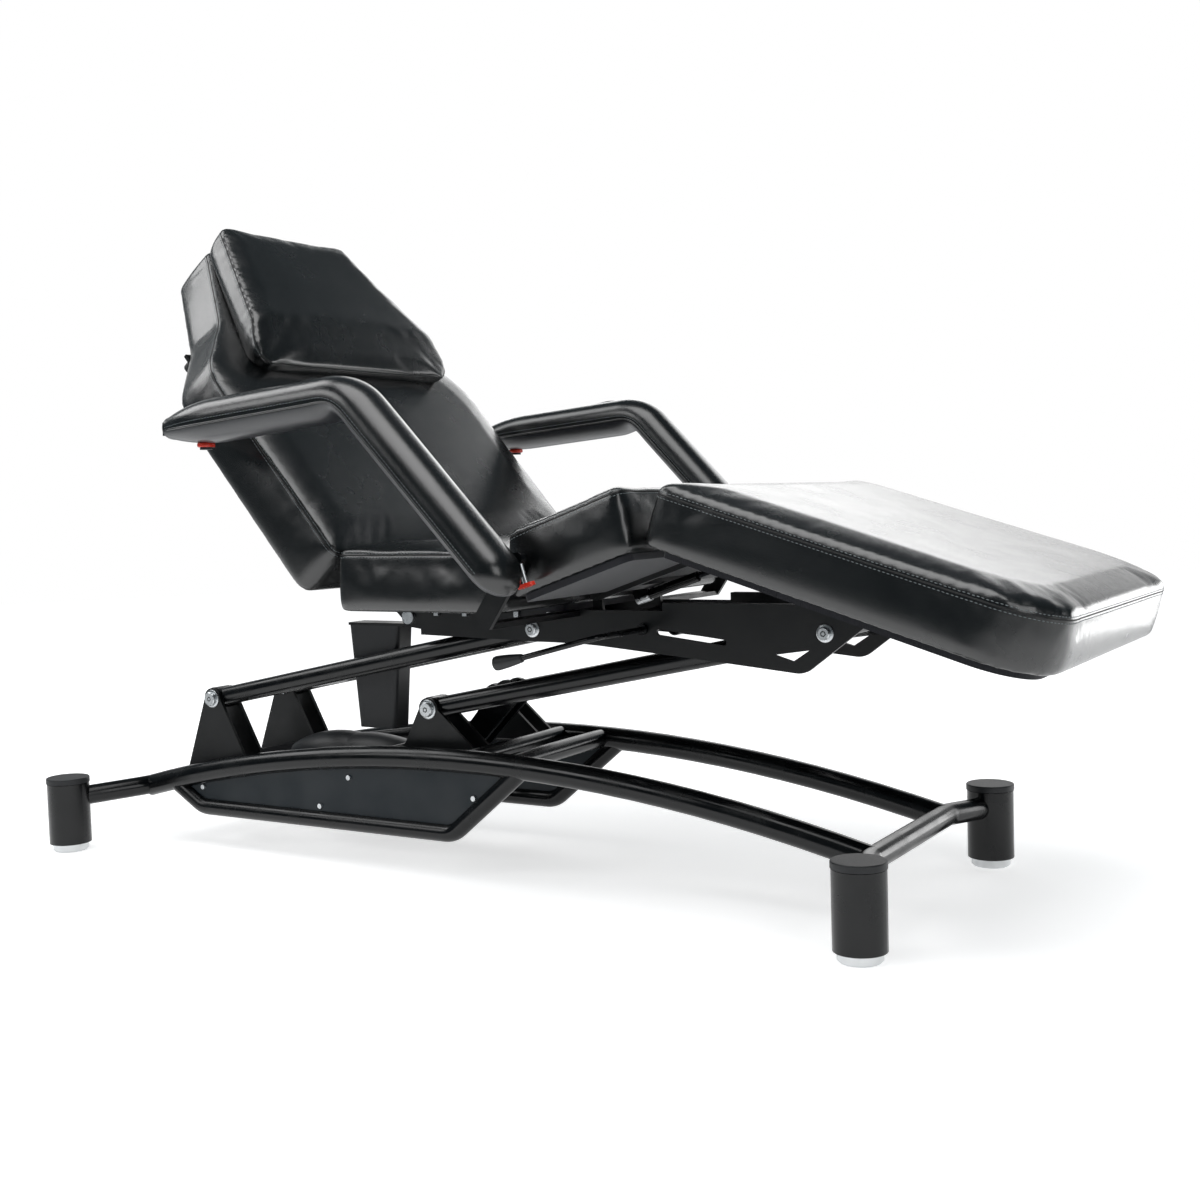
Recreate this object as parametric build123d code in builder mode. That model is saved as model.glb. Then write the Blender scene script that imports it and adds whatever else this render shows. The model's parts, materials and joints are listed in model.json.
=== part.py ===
"""Reclining tattoo chair on an arched tube base with a powered parallelogram lift.

Millimetres, +Z up, +X towards the foot end, -Y is the side with the release lever.
The floor is z = 0 and the model's box is centred on the origin in X and Y.
"""
import os
from math import cos, hypot, radians, sin

from build123d import *

os.makedirs("parts", exist_ok=True)

# Driving dimensions of the base
foot_reach_x = 788.0
foot_reach_y = 293.0
post_d = 76.0
post_top = 127.0
post_floor_gap = 15.0
cap_h = 11.0
cap_lip = 1.0
bow_d = 36.0
bow_wall = 2.5
bow_z = 106.0
bow_foot_z = 98.0
bow_half = 170.0
head_bow_x = 714.0
foot_bow_x = 755.0
rail_d = 40.0
rail_wall = 2.5
rail_y = 157.0
rail_rise = 95.0

# Driving dimensions of the lift
pivot_back = 578.0
pivot_z = 273.0
pivot_span = 515.0
pivot_rise = 4.0
arm_run = 737.0
arm_rise = 147.0
arm_y = 97.0
arm_d = 35.0
arm_wall = 2.5
plate_t = 6.0
sleeve_d = 42.0
sleeve_l = 37.0
bolt_d = 16.0
bolt_head_d = 26.0

# Driving dimensions of the upholstery
pad_width = 710.0
seat_rear = 48.0
seat_front = 262.0
seat_bottom = 465.0
seat_h = 98.0
board_t = 10.0
board_inset = 22.0
back_angle = 50.0
back_foot_x = 5.0
back_foot_z = 500.0
back_start = 75.0
back_length = 710.0
back_thick = 93.0
thigh_angle = 18.5
leg_angle = 17.7
leg_length = 572.0
leg_thick = 88.0
thigh_hinge_x = 272.0
thigh_hinge_z = 476.0
knee_s = 235.3
knee_n = 1.9
leg_start_s = 5.9
leg_start_n = 12.9

# Clearances shared by every fit
run_gap = 0.3
pin_gap = 0.1
open_gap = 2.0
overrun = 5.0

# The base's middle, set so that the whole chair's box is centred on the origin
knee_reach = thigh_hinge_x + knee_s * cos(radians(thigh_angle)) - knee_n * sin(radians(thigh_angle))
seam_share = 0.86
seam_inset = 3.0
leg_tip_s = leg_start_s + leg_length - seam_inset
leg_tip_n = leg_start_n + seam_share * leg_thick
leg_reach = knee_reach + leg_tip_s * cos(radians(leg_angle)) + leg_tip_n * sin(radians(leg_angle))
mid_x = (foot_reach_x + post_d / 2 + cap_lip - leg_reach) / 2

# Pivots of the lift in side view, as (x, z)
rear_pivot = (mid_x - pivot_back, pivot_z)
front_pivot = (rear_pivot[0] + pivot_span, pivot_z + pivot_rise)
rear_top = (rear_pivot[0] + arm_run, pivot_z + arm_rise)
front_top = (front_pivot[0] + arm_run, front_pivot[1] + arm_rise)
SIDES = (("near", -1), ("far", 1))


def save(piece, label):
    """Name a finished piece and write it as one STEP file."""
    piece.part.label = label
    export_step(piece.part, f"parts/{label}.step")


def side_plane(y):
    """Side view at this y: local x runs along X, local y along Z, outward is -Y."""
    return Plane((0, y, 0), x_dir=(1, 0, 0), z_dir=(0, -1, 0))


def bar_along(points, radius, diameter):
    """A round bar along straight runs joined by tangent arcs of one radius."""
    with BuildPart() as bar:
        with BuildLine() as path:
            FilletPolyline(*points, radius=radius)
        with BuildSketch(Plane(path.line @ 0, z_dir=path.line % 0)):
            Circle(diameter / 2)
        sweep(path=path.line)
    return bar.part


def arc_bar(points, diameter):
    """A round bar along the arc through three points."""
    with BuildPart() as bar:
        with BuildLine() as path:
            ThreePointArc(*points)
        with BuildSketch(Plane(path.line @ 0, z_dir=path.line % 0)):
            Circle(diameter / 2)
        sweep(path=path.line)
    return bar.part


def cross_bar(x, z, y_from, y_to, diameter):
    """A round bar along Y between two y values."""
    with BuildPart() as bar:
        with BuildSketch(side_plane(y_to)):
            with Locations((x, z)):
                Circle(diameter / 2)
        extrude(amount=y_to - y_from)
    return bar.part


def straight_bar(start, end, y, diameter):
    """A round bar between two side-view points at one y."""
    with BuildPart() as bar:
        with BuildLine() as path:
            Line((start[0], y, start[1]), (end[0], y, end[1]))
        with BuildSketch(Plane(path.line @ 0, z_dir=path.line % 0)):
            Circle(diameter / 2)
        sweep(path=path.line)
    return bar.part


# Foot posts: welded tubes with a threaded bottom plate, a cap on top and a levelling glide
post_wall = 3.0
post_plate_t = 8.0
stud_d = 12.0
stud_l = 60.0
glide_d = 64.0
glide_foot_d = 58.0
glide_foot_h = 3.0
cap_plug_h = 8.0
cap_round = 2.0
post_seam = 1.0
FEET = [(name, end, side, mid_x + end * foot_reach_x, side * foot_reach_y)
        for end, end_name in ((-1, "head"), (1, "foot"))
        for side_name, side in SIDES
        for name in (f"{end_name}_{side_name}",)]

with BuildPart() as foot_posts:
    for name, end, side, foot_x, foot_y in FEET:
        with BuildSketch(Plane((foot_x, foot_y, post_floor_gap))):
            Circle(post_d / 2)
        extrude(amount=post_top - post_floor_gap)
        with BuildSketch(Plane((foot_x, foot_y, post_floor_gap + post_plate_t))):
            Circle(post_d / 2 - post_wall)
        extrude(amount=post_top, mode=Mode.SUBTRACT)
        with BuildSketch(Plane((foot_x, foot_y, 0))):
            Circle(stud_d / 2 + pin_gap)
        extrude(amount=post_top / 2, mode=Mode.SUBTRACT)
save(foot_posts, "foot_posts")

for name, end, side, foot_x, foot_y in FEET:
    with BuildPart() as glide:
        with BuildSketch(Plane.XZ):
            with BuildLine():
                Polyline((0, 0), (glide_foot_d / 2, 0), (glide_foot_d / 2, glide_foot_h),
                         (glide_d / 2, glide_foot_h), (glide_d / 2, post_floor_gap - run_gap),
                         (stud_d / 2, post_floor_gap - run_gap), (stud_d / 2, stud_l), (0, stud_l), close=True)
            make_face()
        revolve(axis=Axis.Z)
    glide.part = glide.part.moved(Location((foot_x, foot_y, 0)))
    save(glide, f"glide_{name}")

with BuildPart() as foot_caps:
    for name, end, side, foot_x, foot_y in FEET:
        with BuildSketch(Plane((foot_x, foot_y, post_top + post_seam))):
            Circle(post_d / 2 + cap_lip)
        extrude(amount=cap_h - post_seam)
        with BuildSketch(Plane((foot_x, foot_y, post_top - cap_plug_h))):
            Circle(post_d / 2 - post_wall - pin_gap)
        extrude(amount=cap_plug_h + post_seam)
    fillet(foot_caps.edges().filter_by(GeomType.CIRCLE).group_by(Axis.Z)[-1], cap_round)
save(foot_caps, "foot_caps")

# Bows: one bent tube at each end, from foot post to foot post
bow_bend_r = 60.0
BOWS = {}
for end_name, end, reach in (("head", -1, head_bow_x), ("foot", 1, foot_bow_x)):
    feet_x, bow_x = mid_x + end * foot_reach_x, mid_x + end * reach
    bow_points = [(feet_x, -foot_reach_y, bow_foot_z), (bow_x, -bow_half, bow_z),
                  (bow_x, bow_half, bow_z), (feet_x, foot_reach_y, bow_foot_z)]
    BOWS[end_name] = bar_along(bow_points, bow_bend_r, bow_d)
    with BuildPart() as bow:
        add(BOWS[end_name])
        add(bar_along(bow_points, bow_bend_r, bow_d - 2 * bow_wall), mode=Mode.SUBTRACT)
        with Locations(*[(feet_x, side * foot_reach_y, post_top / 2) for side in (-1, 1)]):
            Cylinder(post_d / 2, post_top, mode=Mode.SUBTRACT)
    save(bow, f"{end_name}_bow")

# Side rails: one arched tube each side, coped onto the bows
rail_drop = 2.0
rail_end_z = bow_z - rail_drop
rail_top_z = rail_end_z + rail_rise
rail_mid_x = mid_x + (foot_bow_x - head_bow_x) / 2
rail_half = (foot_bow_x + head_bow_x) / 2
rail_radius = (rail_half ** 2 + rail_rise ** 2) / (2 * rail_rise)


def rail_axis_z(x):
    """Height of the rail's centre line above the floor at this x."""
    return rail_top_z - rail_radius + (rail_radius ** 2 - (x - rail_mid_x) ** 2) ** 0.5


RAILS = {}
for side_name, side in SIDES:
    rail_points = [(mid_x - head_bow_x, side * rail_y, rail_end_z),
                   (rail_mid_x, side * rail_y, rail_top_z),
                   (mid_x + foot_bow_x, side * rail_y, rail_end_z)]
    RAILS[side_name] = arc_bar(rail_points, rail_d)
    with BuildPart() as rail:
        add(RAILS[side_name])
        add(arc_bar(rail_points, rail_d - 2 * rail_wall), mode=Mode.SUBTRACT)
        add(BOWS["head"], mode=Mode.SUBTRACT)
        add(BOWS["foot"], mode=Mode.SUBTRACT)
    save(rail, f"{side_name}_rail")

# Cross tubes of the base, welded between the rails under the pivots
cross_d = 32.0
cross_wall = 2.5
rear_cross_back = 26.0
front_cross_back = 72.0
after_cross_ahead = 97.0
last_cross_ahead = 120.0
rear_cross_x = rear_pivot[0] - rear_cross_back
front_cross_x = front_pivot[0] - front_cross_back
after_cross_x = front_pivot[0] + after_cross_ahead
ahead_cross_x = mid_x + last_cross_ahead
BASE_CROSSES = {}
with BuildPart() as base_cross_tubes:
    for place, cross_x in (("rear", rear_cross_x), ("front", front_cross_x),
                           ("after", after_cross_x), ("ahead", ahead_cross_x)):
        cross_z = rail_axis_z(cross_x)
        BASE_CROSSES[place] = cross_bar(cross_x, cross_z, -rail_y, rail_y, cross_d)
        add(BASE_CROSSES[place])
        add(cross_bar(cross_x, cross_z, -rail_y, rail_y, cross_d - 2 * cross_wall), mode=Mode.SUBTRACT)
    for side_name, side in SIDES:
        add(RAILS[side_name], mode=Mode.SUBTRACT)
save(base_cross_tubes, "base_cross_tubes")

# Lower hoops and the flat side panels inside them
hoop_d = 30.0
hoop_wall = 2.5
hoop_bend_r = 45.0
hoop_rear = 652.0
hoop_rear_low = 574.0
hoop_front_low = 10.0
hoop_front = 158.0
hoop_z = 74.0
panel_t = 3.0
screw_head_d = 10.0
screw_head_t = 3.0
screw_taper = 10.0
PANEL_SCREWS = ((-573.0, 111.0), (-215.0, 154.0), (-284.0, 98.0), (55.0, 138.0))
HOOPS = {}
for side_name, side in SIDES:
    hoop_xz = [(mid_x - hoop_rear, rail_axis_z(mid_x - hoop_rear)), (mid_x - hoop_rear_low, hoop_z),
               (mid_x + hoop_front_low, hoop_z), (mid_x + hoop_front, rail_axis_z(mid_x + hoop_front))]
    hoop_points = [(x, side * rail_y, z) for x, z in hoop_xz]
    HOOPS[side_name] = bar_along(hoop_points, hoop_bend_r, hoop_d)
    with BuildPart() as hoop:
        add(HOOPS[side_name])
        add(bar_along(hoop_points, hoop_bend_r, hoop_d - 2 * hoop_wall), mode=Mode.SUBTRACT)
        add(RAILS[side_name], mode=Mode.SUBTRACT)
        for cross in BASE_CROSSES.values():
            add(cross, mode=Mode.SUBTRACT)
    save(hoop, f"{side_name}_hoop")

    with BuildPart() as panel:
        with BuildSketch(side_plane(side * rail_y + panel_t / 2)):
            with BuildLine():
                Polyline(*hoop_xz)
                ThreePointArc(hoop_xz[3], (rail_mid_x - hoop_rear / 2, rail_axis_z(rail_mid_x - hoop_rear / 2)),
                              hoop_xz[0])
            make_face()
        extrude(amount=panel_t)
        add(RAILS[side_name], mode=Mode.SUBTRACT)
        add(HOOPS[side_name], mode=Mode.SUBTRACT)
        for cross in BASE_CROSSES.values():
            add(cross, mode=Mode.SUBTRACT)
    save(panel, f"{side_name}_panel")

with BuildPart() as panel_screws:
    for side_name, side in SIDES:
        face_y = side * (rail_y + panel_t / 2)
        for x, z in PANEL_SCREWS:
            head_plane = Plane((mid_x + x, face_y, z), x_dir=(1, 0, 0), z_dir=(0, side, 0))
            with BuildSketch(head_plane):
                Circle(screw_head_d / 2)
            extrude(amount=screw_head_t, taper=screw_taper)
save(panel_screws, "panel_screws")

# Pivot brackets: a clevis of two triangular plates at each arm foot
ear_r = 20.0
plate_y = (arm_y - sleeve_l / 2 - run_gap - plate_t, arm_y + sleeve_l / 2 + run_gap)
rear_foot = (118.0, 84.0)
front_foot = (84.0, 108.0)
foot_drop = 2.0
neck_share = 0.62
with BuildPart() as pivot_brackets:
    for pivot, reach in ((rear_pivot, rear_foot), (front_pivot, front_foot)):
        left, right = pivot[0] - reach[0], pivot[0] + reach[1]
        left_z, right_z = rail_axis_z(left) + foot_drop, rail_axis_z(right) + foot_drop
        neck = pivot[0] - neck_share * reach[0]
        for y_face in [side * y + (plate_t if side * y > 0 else 0) for y in plate_y for side in (-1, 1)]:
            with BuildSketch(side_plane(y_face)):
                with BuildLine():
                    Polyline((pivot[0] - ear_r, pivot[1]), (neck, left_z + ear_r), (left, left_z),
                             (right, right_z), (pivot[0] + ear_r, pivot[1]))
                    ThreePointArc((pivot[0] + ear_r, pivot[1]), (pivot[0], pivot[1] + ear_r),
                                  (pivot[0] - ear_r, pivot[1]))
                make_face()
                with Locations(pivot):
                    Circle(bolt_d / 2 + pin_gap, mode=Mode.SUBTRACT)
            extrude(amount=plate_t)
    for bar in (*RAILS.values(), *BASE_CROSSES.values()):
        add(bar, mode=Mode.SUBTRACT)
save(pivot_brackets, "pivot_brackets")

head_t = 8.7
nut_t = 8.7
head_dome = 1.5
dome_taper = 45
small_head_share = 0.75


def pivot_bolts(pivots, inner_y, outer_y, head_d):
    """Bolts along Y: a domed head outside, the shank, and a nut inside."""
    with BuildPart() as bolts:
        for side in (-1, 1):
            for pivot in pivots:
                outer = Plane((pivot[0], side * outer_y, pivot[1]), x_dir=(1, 0, 0), z_dir=(0, side, 0))
                with BuildSketch(outer):
                    Circle(head_d / 2)
                extrude(amount=head_t - head_dome)
                with BuildSketch(outer.offset(head_t - head_dome)):
                    Circle(head_d / 2)
                extrude(amount=head_dome, taper=dome_taper)
                with BuildSketch(outer.offset(inner_y - outer_y - nut_t)):
                    Circle(bolt_d / 2)
                extrude(amount=outer_y - inner_y + nut_t)
                with BuildSketch(outer.offset(inner_y - outer_y - nut_t)):
                    RegularPolygon(bolt_d, 6)
                extrude(amount=nut_t)
    return bolts


plate_out = plate_y[1] + plate_t
save(pivot_bolts((rear_pivot, front_pivot), plate_y[0], plate_out, bolt_head_d), "base_pivot_bolts")


def lift_arms(start, end, end_gap):
    """A tube between two cross sleeves on each side; end_gap is the radial room of the upper bore."""
    with BuildPart() as arms:
        for y in (-arm_y, arm_y):
            add(straight_bar(start, end, y, arm_d))
            add(straight_bar(start, end, y, arm_d - 2 * arm_wall), mode=Mode.SUBTRACT)
            for pivot, gap in ((start, pin_gap), (end, end_gap)):
                add(cross_bar(pivot[0], pivot[1], y - sleeve_l / 2, y + sleeve_l / 2, sleeve_d))
                add(cross_bar(pivot[0], pivot[1], y - sleeve_l, y + sleeve_l, bolt_d + 2 * gap),
                    mode=Mode.SUBTRACT)
    return arms


def along(start, end, distance, side_step=0.0):
    """A side-view point this far from start towards end, and this far to the upper side."""
    length = hypot(end[0] - start[0], end[1] - start[1])
    ux, uz = (end[0] - start[0]) / length, (end[1] - start[1]) / length
    return (start[0] + distance * ux - side_step * uz, start[1] + distance * uz + side_step * ux)


rear_tie_at = 150.0
front_tie_at = 96.0
tie_d = 32.0
tie_wall = 3.0
rear_tie = along(rear_pivot, rear_top, rear_tie_at)
front_tie = along(front_pivot, front_top, front_tie_at)
save(lift_arms(rear_pivot, rear_top, pin_gap), "rear_arms")
save(lift_arms(front_pivot, front_top, open_gap), "front_arms")

with BuildPart() as rear_tie_tube:
    add(cross_bar(rear_tie[0], rear_tie[1], -arm_y, arm_y, tie_d))
    add(cross_bar(rear_tie[0], rear_tie[1], -arm_y, arm_y, tie_d - 2 * tie_wall), mode=Mode.SUBTRACT)
    for side in (-1, 1):
        add(straight_bar(rear_pivot, rear_top, side * arm_y, arm_d), mode=Mode.SUBTRACT)
save(rear_tie_tube, "rear_arm_tie_tube")

# Torque tube of the front arms, with the crank that the actuator pushes
crank_drop = 125.0
crank_lag = 17.0
crank_t = 8.0
crank_y = 17.0
crank_ear_r = 19.0
rod_pin_d = 14.0
rod_pin = (front_pivot[0] - crank_drop * sin(radians(crank_lag)),
           front_pivot[1] - crank_drop * cos(radians(crank_lag)))
with BuildPart() as torque_tube:
    add(cross_bar(front_tie[0], front_tie[1], -arm_y, arm_y, tie_d))
    for side in (-1, 1):
        add(straight_bar(front_pivot, front_top, side * arm_y, arm_d), mode=Mode.SUBTRACT)
        y_face = side * crank_y + crank_t / 2
        with BuildSketch(side_plane(y_face)) as crank_side:
            with Locations(front_tie):
                Circle(tie_d / 2 + crank_t)
            with Locations(rod_pin):
                Circle(crank_ear_r)
            make_hull()
            with Locations(rod_pin):
                Circle(rod_pin_d / 2, mode=Mode.SUBTRACT)
        extrude(amount=crank_t)
    add(cross_bar(rod_pin[0], rod_pin[1], -crank_y - crank_t, crank_y + crank_t, rod_pin_d))
    add(cross_bar(front_tie[0], front_tie[1], -arm_y, arm_y, tie_d - 2 * tie_wall), mode=Mode.SUBTRACT)
save(torque_tube, "torque_tube")

# Lift actuator: a long rounded housing lying in the base, its rod and the rod's eye
housing_mouth_back = 142.0
housing_tail_back = 478.0
housing_front = mid_x - housing_mouth_back
housing_rear = mid_x - housing_tail_back
housing_r = 50.0
housing_mouth_r = 19.0
housing_tail_r = 24.0
actuator_z = rod_pin[1] - crank_drop * (1 - cos(radians(crank_lag))) / 2
actuator_rod_d = 24.0
actuator_stroke = 2 * crank_drop * sin(radians(crank_lag))
eye_r = 15.0
eye_w = 2 * (crank_y - crank_t / 2 - run_gap) - run_gap
bore_gap = 0.5
housing_shoulder_share = 0.15
housing_belly_share = 0.45
housing_brow_share = 0.82
shoulder_r_share = 0.87
brow_r_share = 0.8
with BuildPart() as actuator_housing:
    with BuildSketch(side_plane(0)):
        length = housing_front - housing_rear
        with BuildLine():
            tail = (housing_rear, actuator_z + housing_tail_r)
            belly = (housing_rear + housing_belly_share * length, actuator_z + housing_r)
            mouth = (housing_front, actuator_z + housing_mouth_r)
            shoulder = (housing_rear + housing_shoulder_share * length, actuator_z + shoulder_r_share * housing_r)
            brow = (housing_rear + housing_brow_share * length, actuator_z + brow_r_share * housing_r)
            ThreePointArc(tail, shoulder, belly)
            ThreePointArc(belly, brow, mouth)
            Polyline(mouth, (housing_front, actuator_z), (housing_rear, actuator_z), tail)
        make_face()
    revolve(axis=Axis((housing_rear, 0, actuator_z), (1, 0, 0)))
    with BuildSketch(Plane((housing_front, 0, actuator_z), z_dir=(-1, 0, 0))):
        Circle(actuator_rod_d / 2 + bore_gap)
    extrude(amount=actuator_stroke + housing_r * 2, mode=Mode.SUBTRACT)
    rear_lug = (rear_cross_x, rail_axis_z(rear_cross_x))
    with BuildSketch(side_plane(plate_t)):
        with Locations(rear_lug):
            Circle(cross_d / 2 + plate_t)
        with Locations((housing_rear + plate_t, actuator_z)):
            Circle(housing_tail_r)
        make_hull()
    extrude(amount=2 * plate_t)
    add(BASE_CROSSES["rear"], mode=Mode.SUBTRACT)
save(actuator_housing, "actuator_housing")

with BuildPart() as actuator_rod:
    rod_len = rod_pin[0] - housing_front + housing_r
    with BuildSketch(Plane((rod_pin[0] - eye_r, 0, actuator_z), z_dir=(-1, 0, 0))):
        Circle(actuator_rod_d / 2)
    extrude(amount=rod_len - eye_r)
    add(cross_bar(rod_pin[0], actuator_z, -eye_w / 2, eye_w / 2, 2 * eye_r + 2 * open_gap))
    add(cross_bar(rod_pin[0], actuator_z, -eye_w, eye_w, rod_pin_d + 4 * open_gap), mode=Mode.SUBTRACT)
save(actuator_rod, "actuator_rod")

# Seat frame: two long side plates with a tail that curves up to the front pivots
plate_top = 453.0
plate_rear = 72.0
plate_low = 362.0
plate_nose = 733.0
back_hinge_back = 96.0
back_hinge_z = 436.0
back_hinge = (mid_x - back_hinge_back, back_hinge_z)
hinge_ear_r = 17.0
hinge_d = 16.0
hinge_head_share = 0.75
rest_rail_h = 13.4
rest_rail_w = 18.0
rest_rail_start = 406.0
tail_round = 34.0
lever_pivot_x = 368.0
lever_pivot_z = 424.0
lever_pivot = (mid_x + lever_pivot_x, lever_pivot_z)
lever_d = 9.0
nose_z = 432.0
belly_x = 640.0
waist_x, waist_z = 500.0, 376.0
bend_x, bend_z = 285.0, 396.0
notch_x, notch_z = 253.0, 398.0
plate_rear_z = 406.0
slot_x, slot_z = 452.0, 413.0
slot_l, slot_w, slot_tilt = 122.0, 9.0, 7.0
window_rear_x, window_rear_z = 592.0, 390.0
window_low_x, window_low_z = 622.0, 381.0
window_top_x, window_top_z = 648.0, 398.0
SEAT_PLATE = ((-plate_rear, plate_top), (plate_nose, plate_top), (plate_nose, nose_z), (belly_x, plate_low),
              (waist_x, waist_z), (bend_x, bend_z), (notch_x, notch_z), (-plate_rear, plate_rear_z))
WINDOW = ((window_rear_x, window_rear_z), (window_low_x, window_low_z), (window_top_x, window_top_z))

for side_name, side in SIDES:
    y_face = side * (plate_y[1] + plate_t / 2) + plate_t / 2
    with BuildPart() as seat_plate:
        with BuildSketch(side_plane(y_face)) as plate_sketch:
            with BuildLine():
                Polyline(*[(mid_x + x, z) for x, z in SEAT_PLATE], close=True)
            make_face()
            fillet(plate_sketch.vertices().sort_by(Axis.Y)[0], tail_round)
            with Locations(back_hinge):
                Circle(hinge_ear_r)
            with BuildLine():
                Polyline((back_hinge[0], back_hinge[1] + hinge_ear_r), (mid_x, plate_top - run_gap),
                         (mid_x, plate_rear_z), (back_hinge[0], back_hinge[1] - hinge_ear_r), close=True)
            make_face()
            for hole, d in ((rear_top, bolt_d + 2 * pin_gap), (front_top, bolt_d + 2 * pin_gap),
                            (back_hinge, hinge_d + 2 * pin_gap)):
                with Locations(hole):
                    Circle(d / 2, mode=Mode.SUBTRACT)
            if side < 0:
                with Locations(lever_pivot):
                    Circle(lever_d / 2 + pin_gap, mode=Mode.SUBTRACT)
            with Locations(Location((mid_x + slot_x, slot_z), -slot_tilt)):
                SlotOverall(slot_l, slot_w, mode=Mode.SUBTRACT)
            with BuildLine():
                Polyline(*[(mid_x + x, z) for x, z in WINDOW], close=True)
            make_face(mode=Mode.SUBTRACT)
        extrude(amount=plate_t)
        with BuildSketch(side_plane(y_face + plate_t)):
            with BuildLine():
                rest_top = plate_top + rest_rail_h
                Polyline((mid_x + rest_rail_start, plate_top), (mid_x + plate_nose, plate_top),
                         (mid_x + plate_nose, rest_top), (mid_x + rest_rail_start, rest_top), close=True)
            make_face()
        extrude(amount=rest_rail_w)
    save(seat_plate, f"seat_plate_{side_name}")

save(pivot_bolts((rear_top, front_top), arm_y - sleeve_l / 2 - run_gap, plate_out,
                 small_head_share * bolt_head_d),
     "seat_pivot_bolts")

# Cross tubes of the seat frame, with the control box's bracket and the thigh hinge lugs welded on
seat_cross_d = 26.0
seat_cross_wall = 2.0
SEAT_CROSSES = ((-46.0, 428.0), (272.0, 428.0), (420.0, 428.0), (716.0, 436.0))
box_top_w = 114.0
box_low_w = 82.0
box_depth = 44.0
box_x = -217.0
box_y = -53.0
box_top_z = 415.0
box_low_z = 230.0
box_round = 8.0
box_plate_t = 5.0
thigh_hinge = (mid_x + thigh_hinge_x, thigh_hinge_z)
hinge_knuckle_r = 9.0
knee_pin_d = 10.0
seat_lug_y = 92.0
thigh_lug_y = 100.3
knee_lug_t = 8.0
back_spring_y = 40.0
back_crank = 45.0
back_crank_lag = 25.0
back_crank_pin = (back_hinge[0] - back_crank * sin(radians(back_crank_lag)),
                  back_hinge[1] - back_crank * cos(radians(back_crank_lag)))
back_spring_z = back_crank_pin[1] - back_crank * (1 - cos(radians(back_crank_lag))) / 2
back_spring_end = mid_x + SEAT_CROSSES[1][0]
with BuildPart() as seat_cross_tubes:
    for x, z in SEAT_CROSSES:
        add(cross_bar(mid_x + x, z, -plate_y[1], plate_y[1], seat_cross_d))
    box_rear = mid_x + box_x - box_top_w / 2
    with BuildSketch(Plane(((box_rear + mid_x + SEAT_CROSSES[0][0]) / 2, box_y, box_top_z))):
        Rectangle(mid_x + SEAT_CROSSES[0][0] - box_rear, box_depth)
    extrude(amount=box_plate_t)
    for side in (-1, 1):
        with BuildSketch(side_plane(side * (seat_lug_y + knee_lug_t / 2) + knee_lug_t / 2)):
            with Locations(thigh_hinge, (thigh_hinge[0], SEAT_CROSSES[1][1])):
                Circle(hinge_knuckle_r)
            make_hull()
        extrude(amount=knee_lug_t)
        pin_from, pin_to = sorted((side * seat_lug_y, side * (thigh_lug_y + knee_lug_t)))
        add(cross_bar(thigh_hinge[0], thigh_hinge[1], pin_from, pin_to, knee_pin_d))
    with BuildSketch(side_plane(back_spring_y + knee_lug_t / 2)):
        with Locations((back_spring_end, back_spring_z), (back_spring_end, SEAT_CROSSES[1][1])):
            Circle(hinge_knuckle_r)
        make_hull()
    extrude(amount=knee_lug_t)
    for x, z in SEAT_CROSSES:
        add(cross_bar(mid_x + x, z, -plate_y[1], plate_y[1], seat_cross_d - 2 * seat_cross_wall),
            mode=Mode.SUBTRACT)
save(seat_cross_tubes, "seat_cross_tubes")

with BuildPart() as back_hinge_shaft:
    add(cross_bar(back_hinge[0], back_hinge[1], -plate_out - plate_t, plate_out + plate_t, hinge_d))
    for side in (-1, 1):
        head = Plane((back_hinge[0], side * plate_out, back_hinge[1]), x_dir=(1, 0, 0), z_dir=(0, side, 0))
        with BuildSketch(head):
            Circle(hinge_head_share * hinge_d)
        extrude(amount=plate_t)
save(back_hinge_shaft, "back_hinge_shaft")

# Square nuts along the top edge of both side plates
nut_side = 9.0
square_nut_t = 5.0
FRAME_NUTS = (-35.0, 25.0, 130.0, 195.0)
with BuildPart() as frame_nuts:
    for side in (-1, 1):
        for x in FRAME_NUTS:
            with BuildSketch(Plane((mid_x + x, side * plate_out, plate_top - nut_side),
                                   x_dir=(1, 0, 0), z_dir=(0, side, 0))):
                Rectangle(nut_side, nut_side)
            extrude(amount=square_nut_t)
save(frame_nuts, "frame_nuts")

# Control box that hangs behind the seat frame, with a power inlet in its floor
inlet_w = 48.0
inlet_h = 27.0
inlet_round = 3.0
inlet_deep = 16.0
with BuildPart() as control_box:
    for z, w in ((box_low_z, box_low_w), (box_top_z, box_top_w)):
        with BuildSketch(Plane((mid_x + box_x, box_y, z))):
            RectangleRounded(w, box_depth, box_round)
    loft()
    with BuildSketch(Plane((mid_x + box_x, box_y, box_low_z))):
        RectangleRounded(inlet_w, inlet_h, inlet_round)
    extrude(amount=inlet_deep, mode=Mode.SUBTRACT)
save(control_box, "control_box")

# Cushions: drawn-in sides below the seam, a crown above it
crown_share = 1 - seam_share
crown_run = 62.0
low_inset = 7.0
belly_share = 0.45
CROWN_STEPS = (0, 34, 62, 90)


def cushion(plane, outline, thick):
    """Two lofts: the side wall up to the seam, then a crown that follows a quarter ellipse."""
    walls = [(share * thick, outline(inset, share)) for share, inset in
             ((0, low_inset), (belly_share, 0), (seam_share, seam_inset))]
    crowns = [(thick * (seam_share + crown_share * sin(radians(step))),
               outline(seam_inset + crown_run * (1 - cos(radians(step))),
                       seam_share + crown_share * sin(radians(step)))) for step in CROWN_STEPS]
    with BuildPart() as pad:
        for levels in (walls, crowns):
            for height, plan in levels:
                with BuildSketch(plane.offset(height)):
                    add(plan)
            loft()
    return pad


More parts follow.
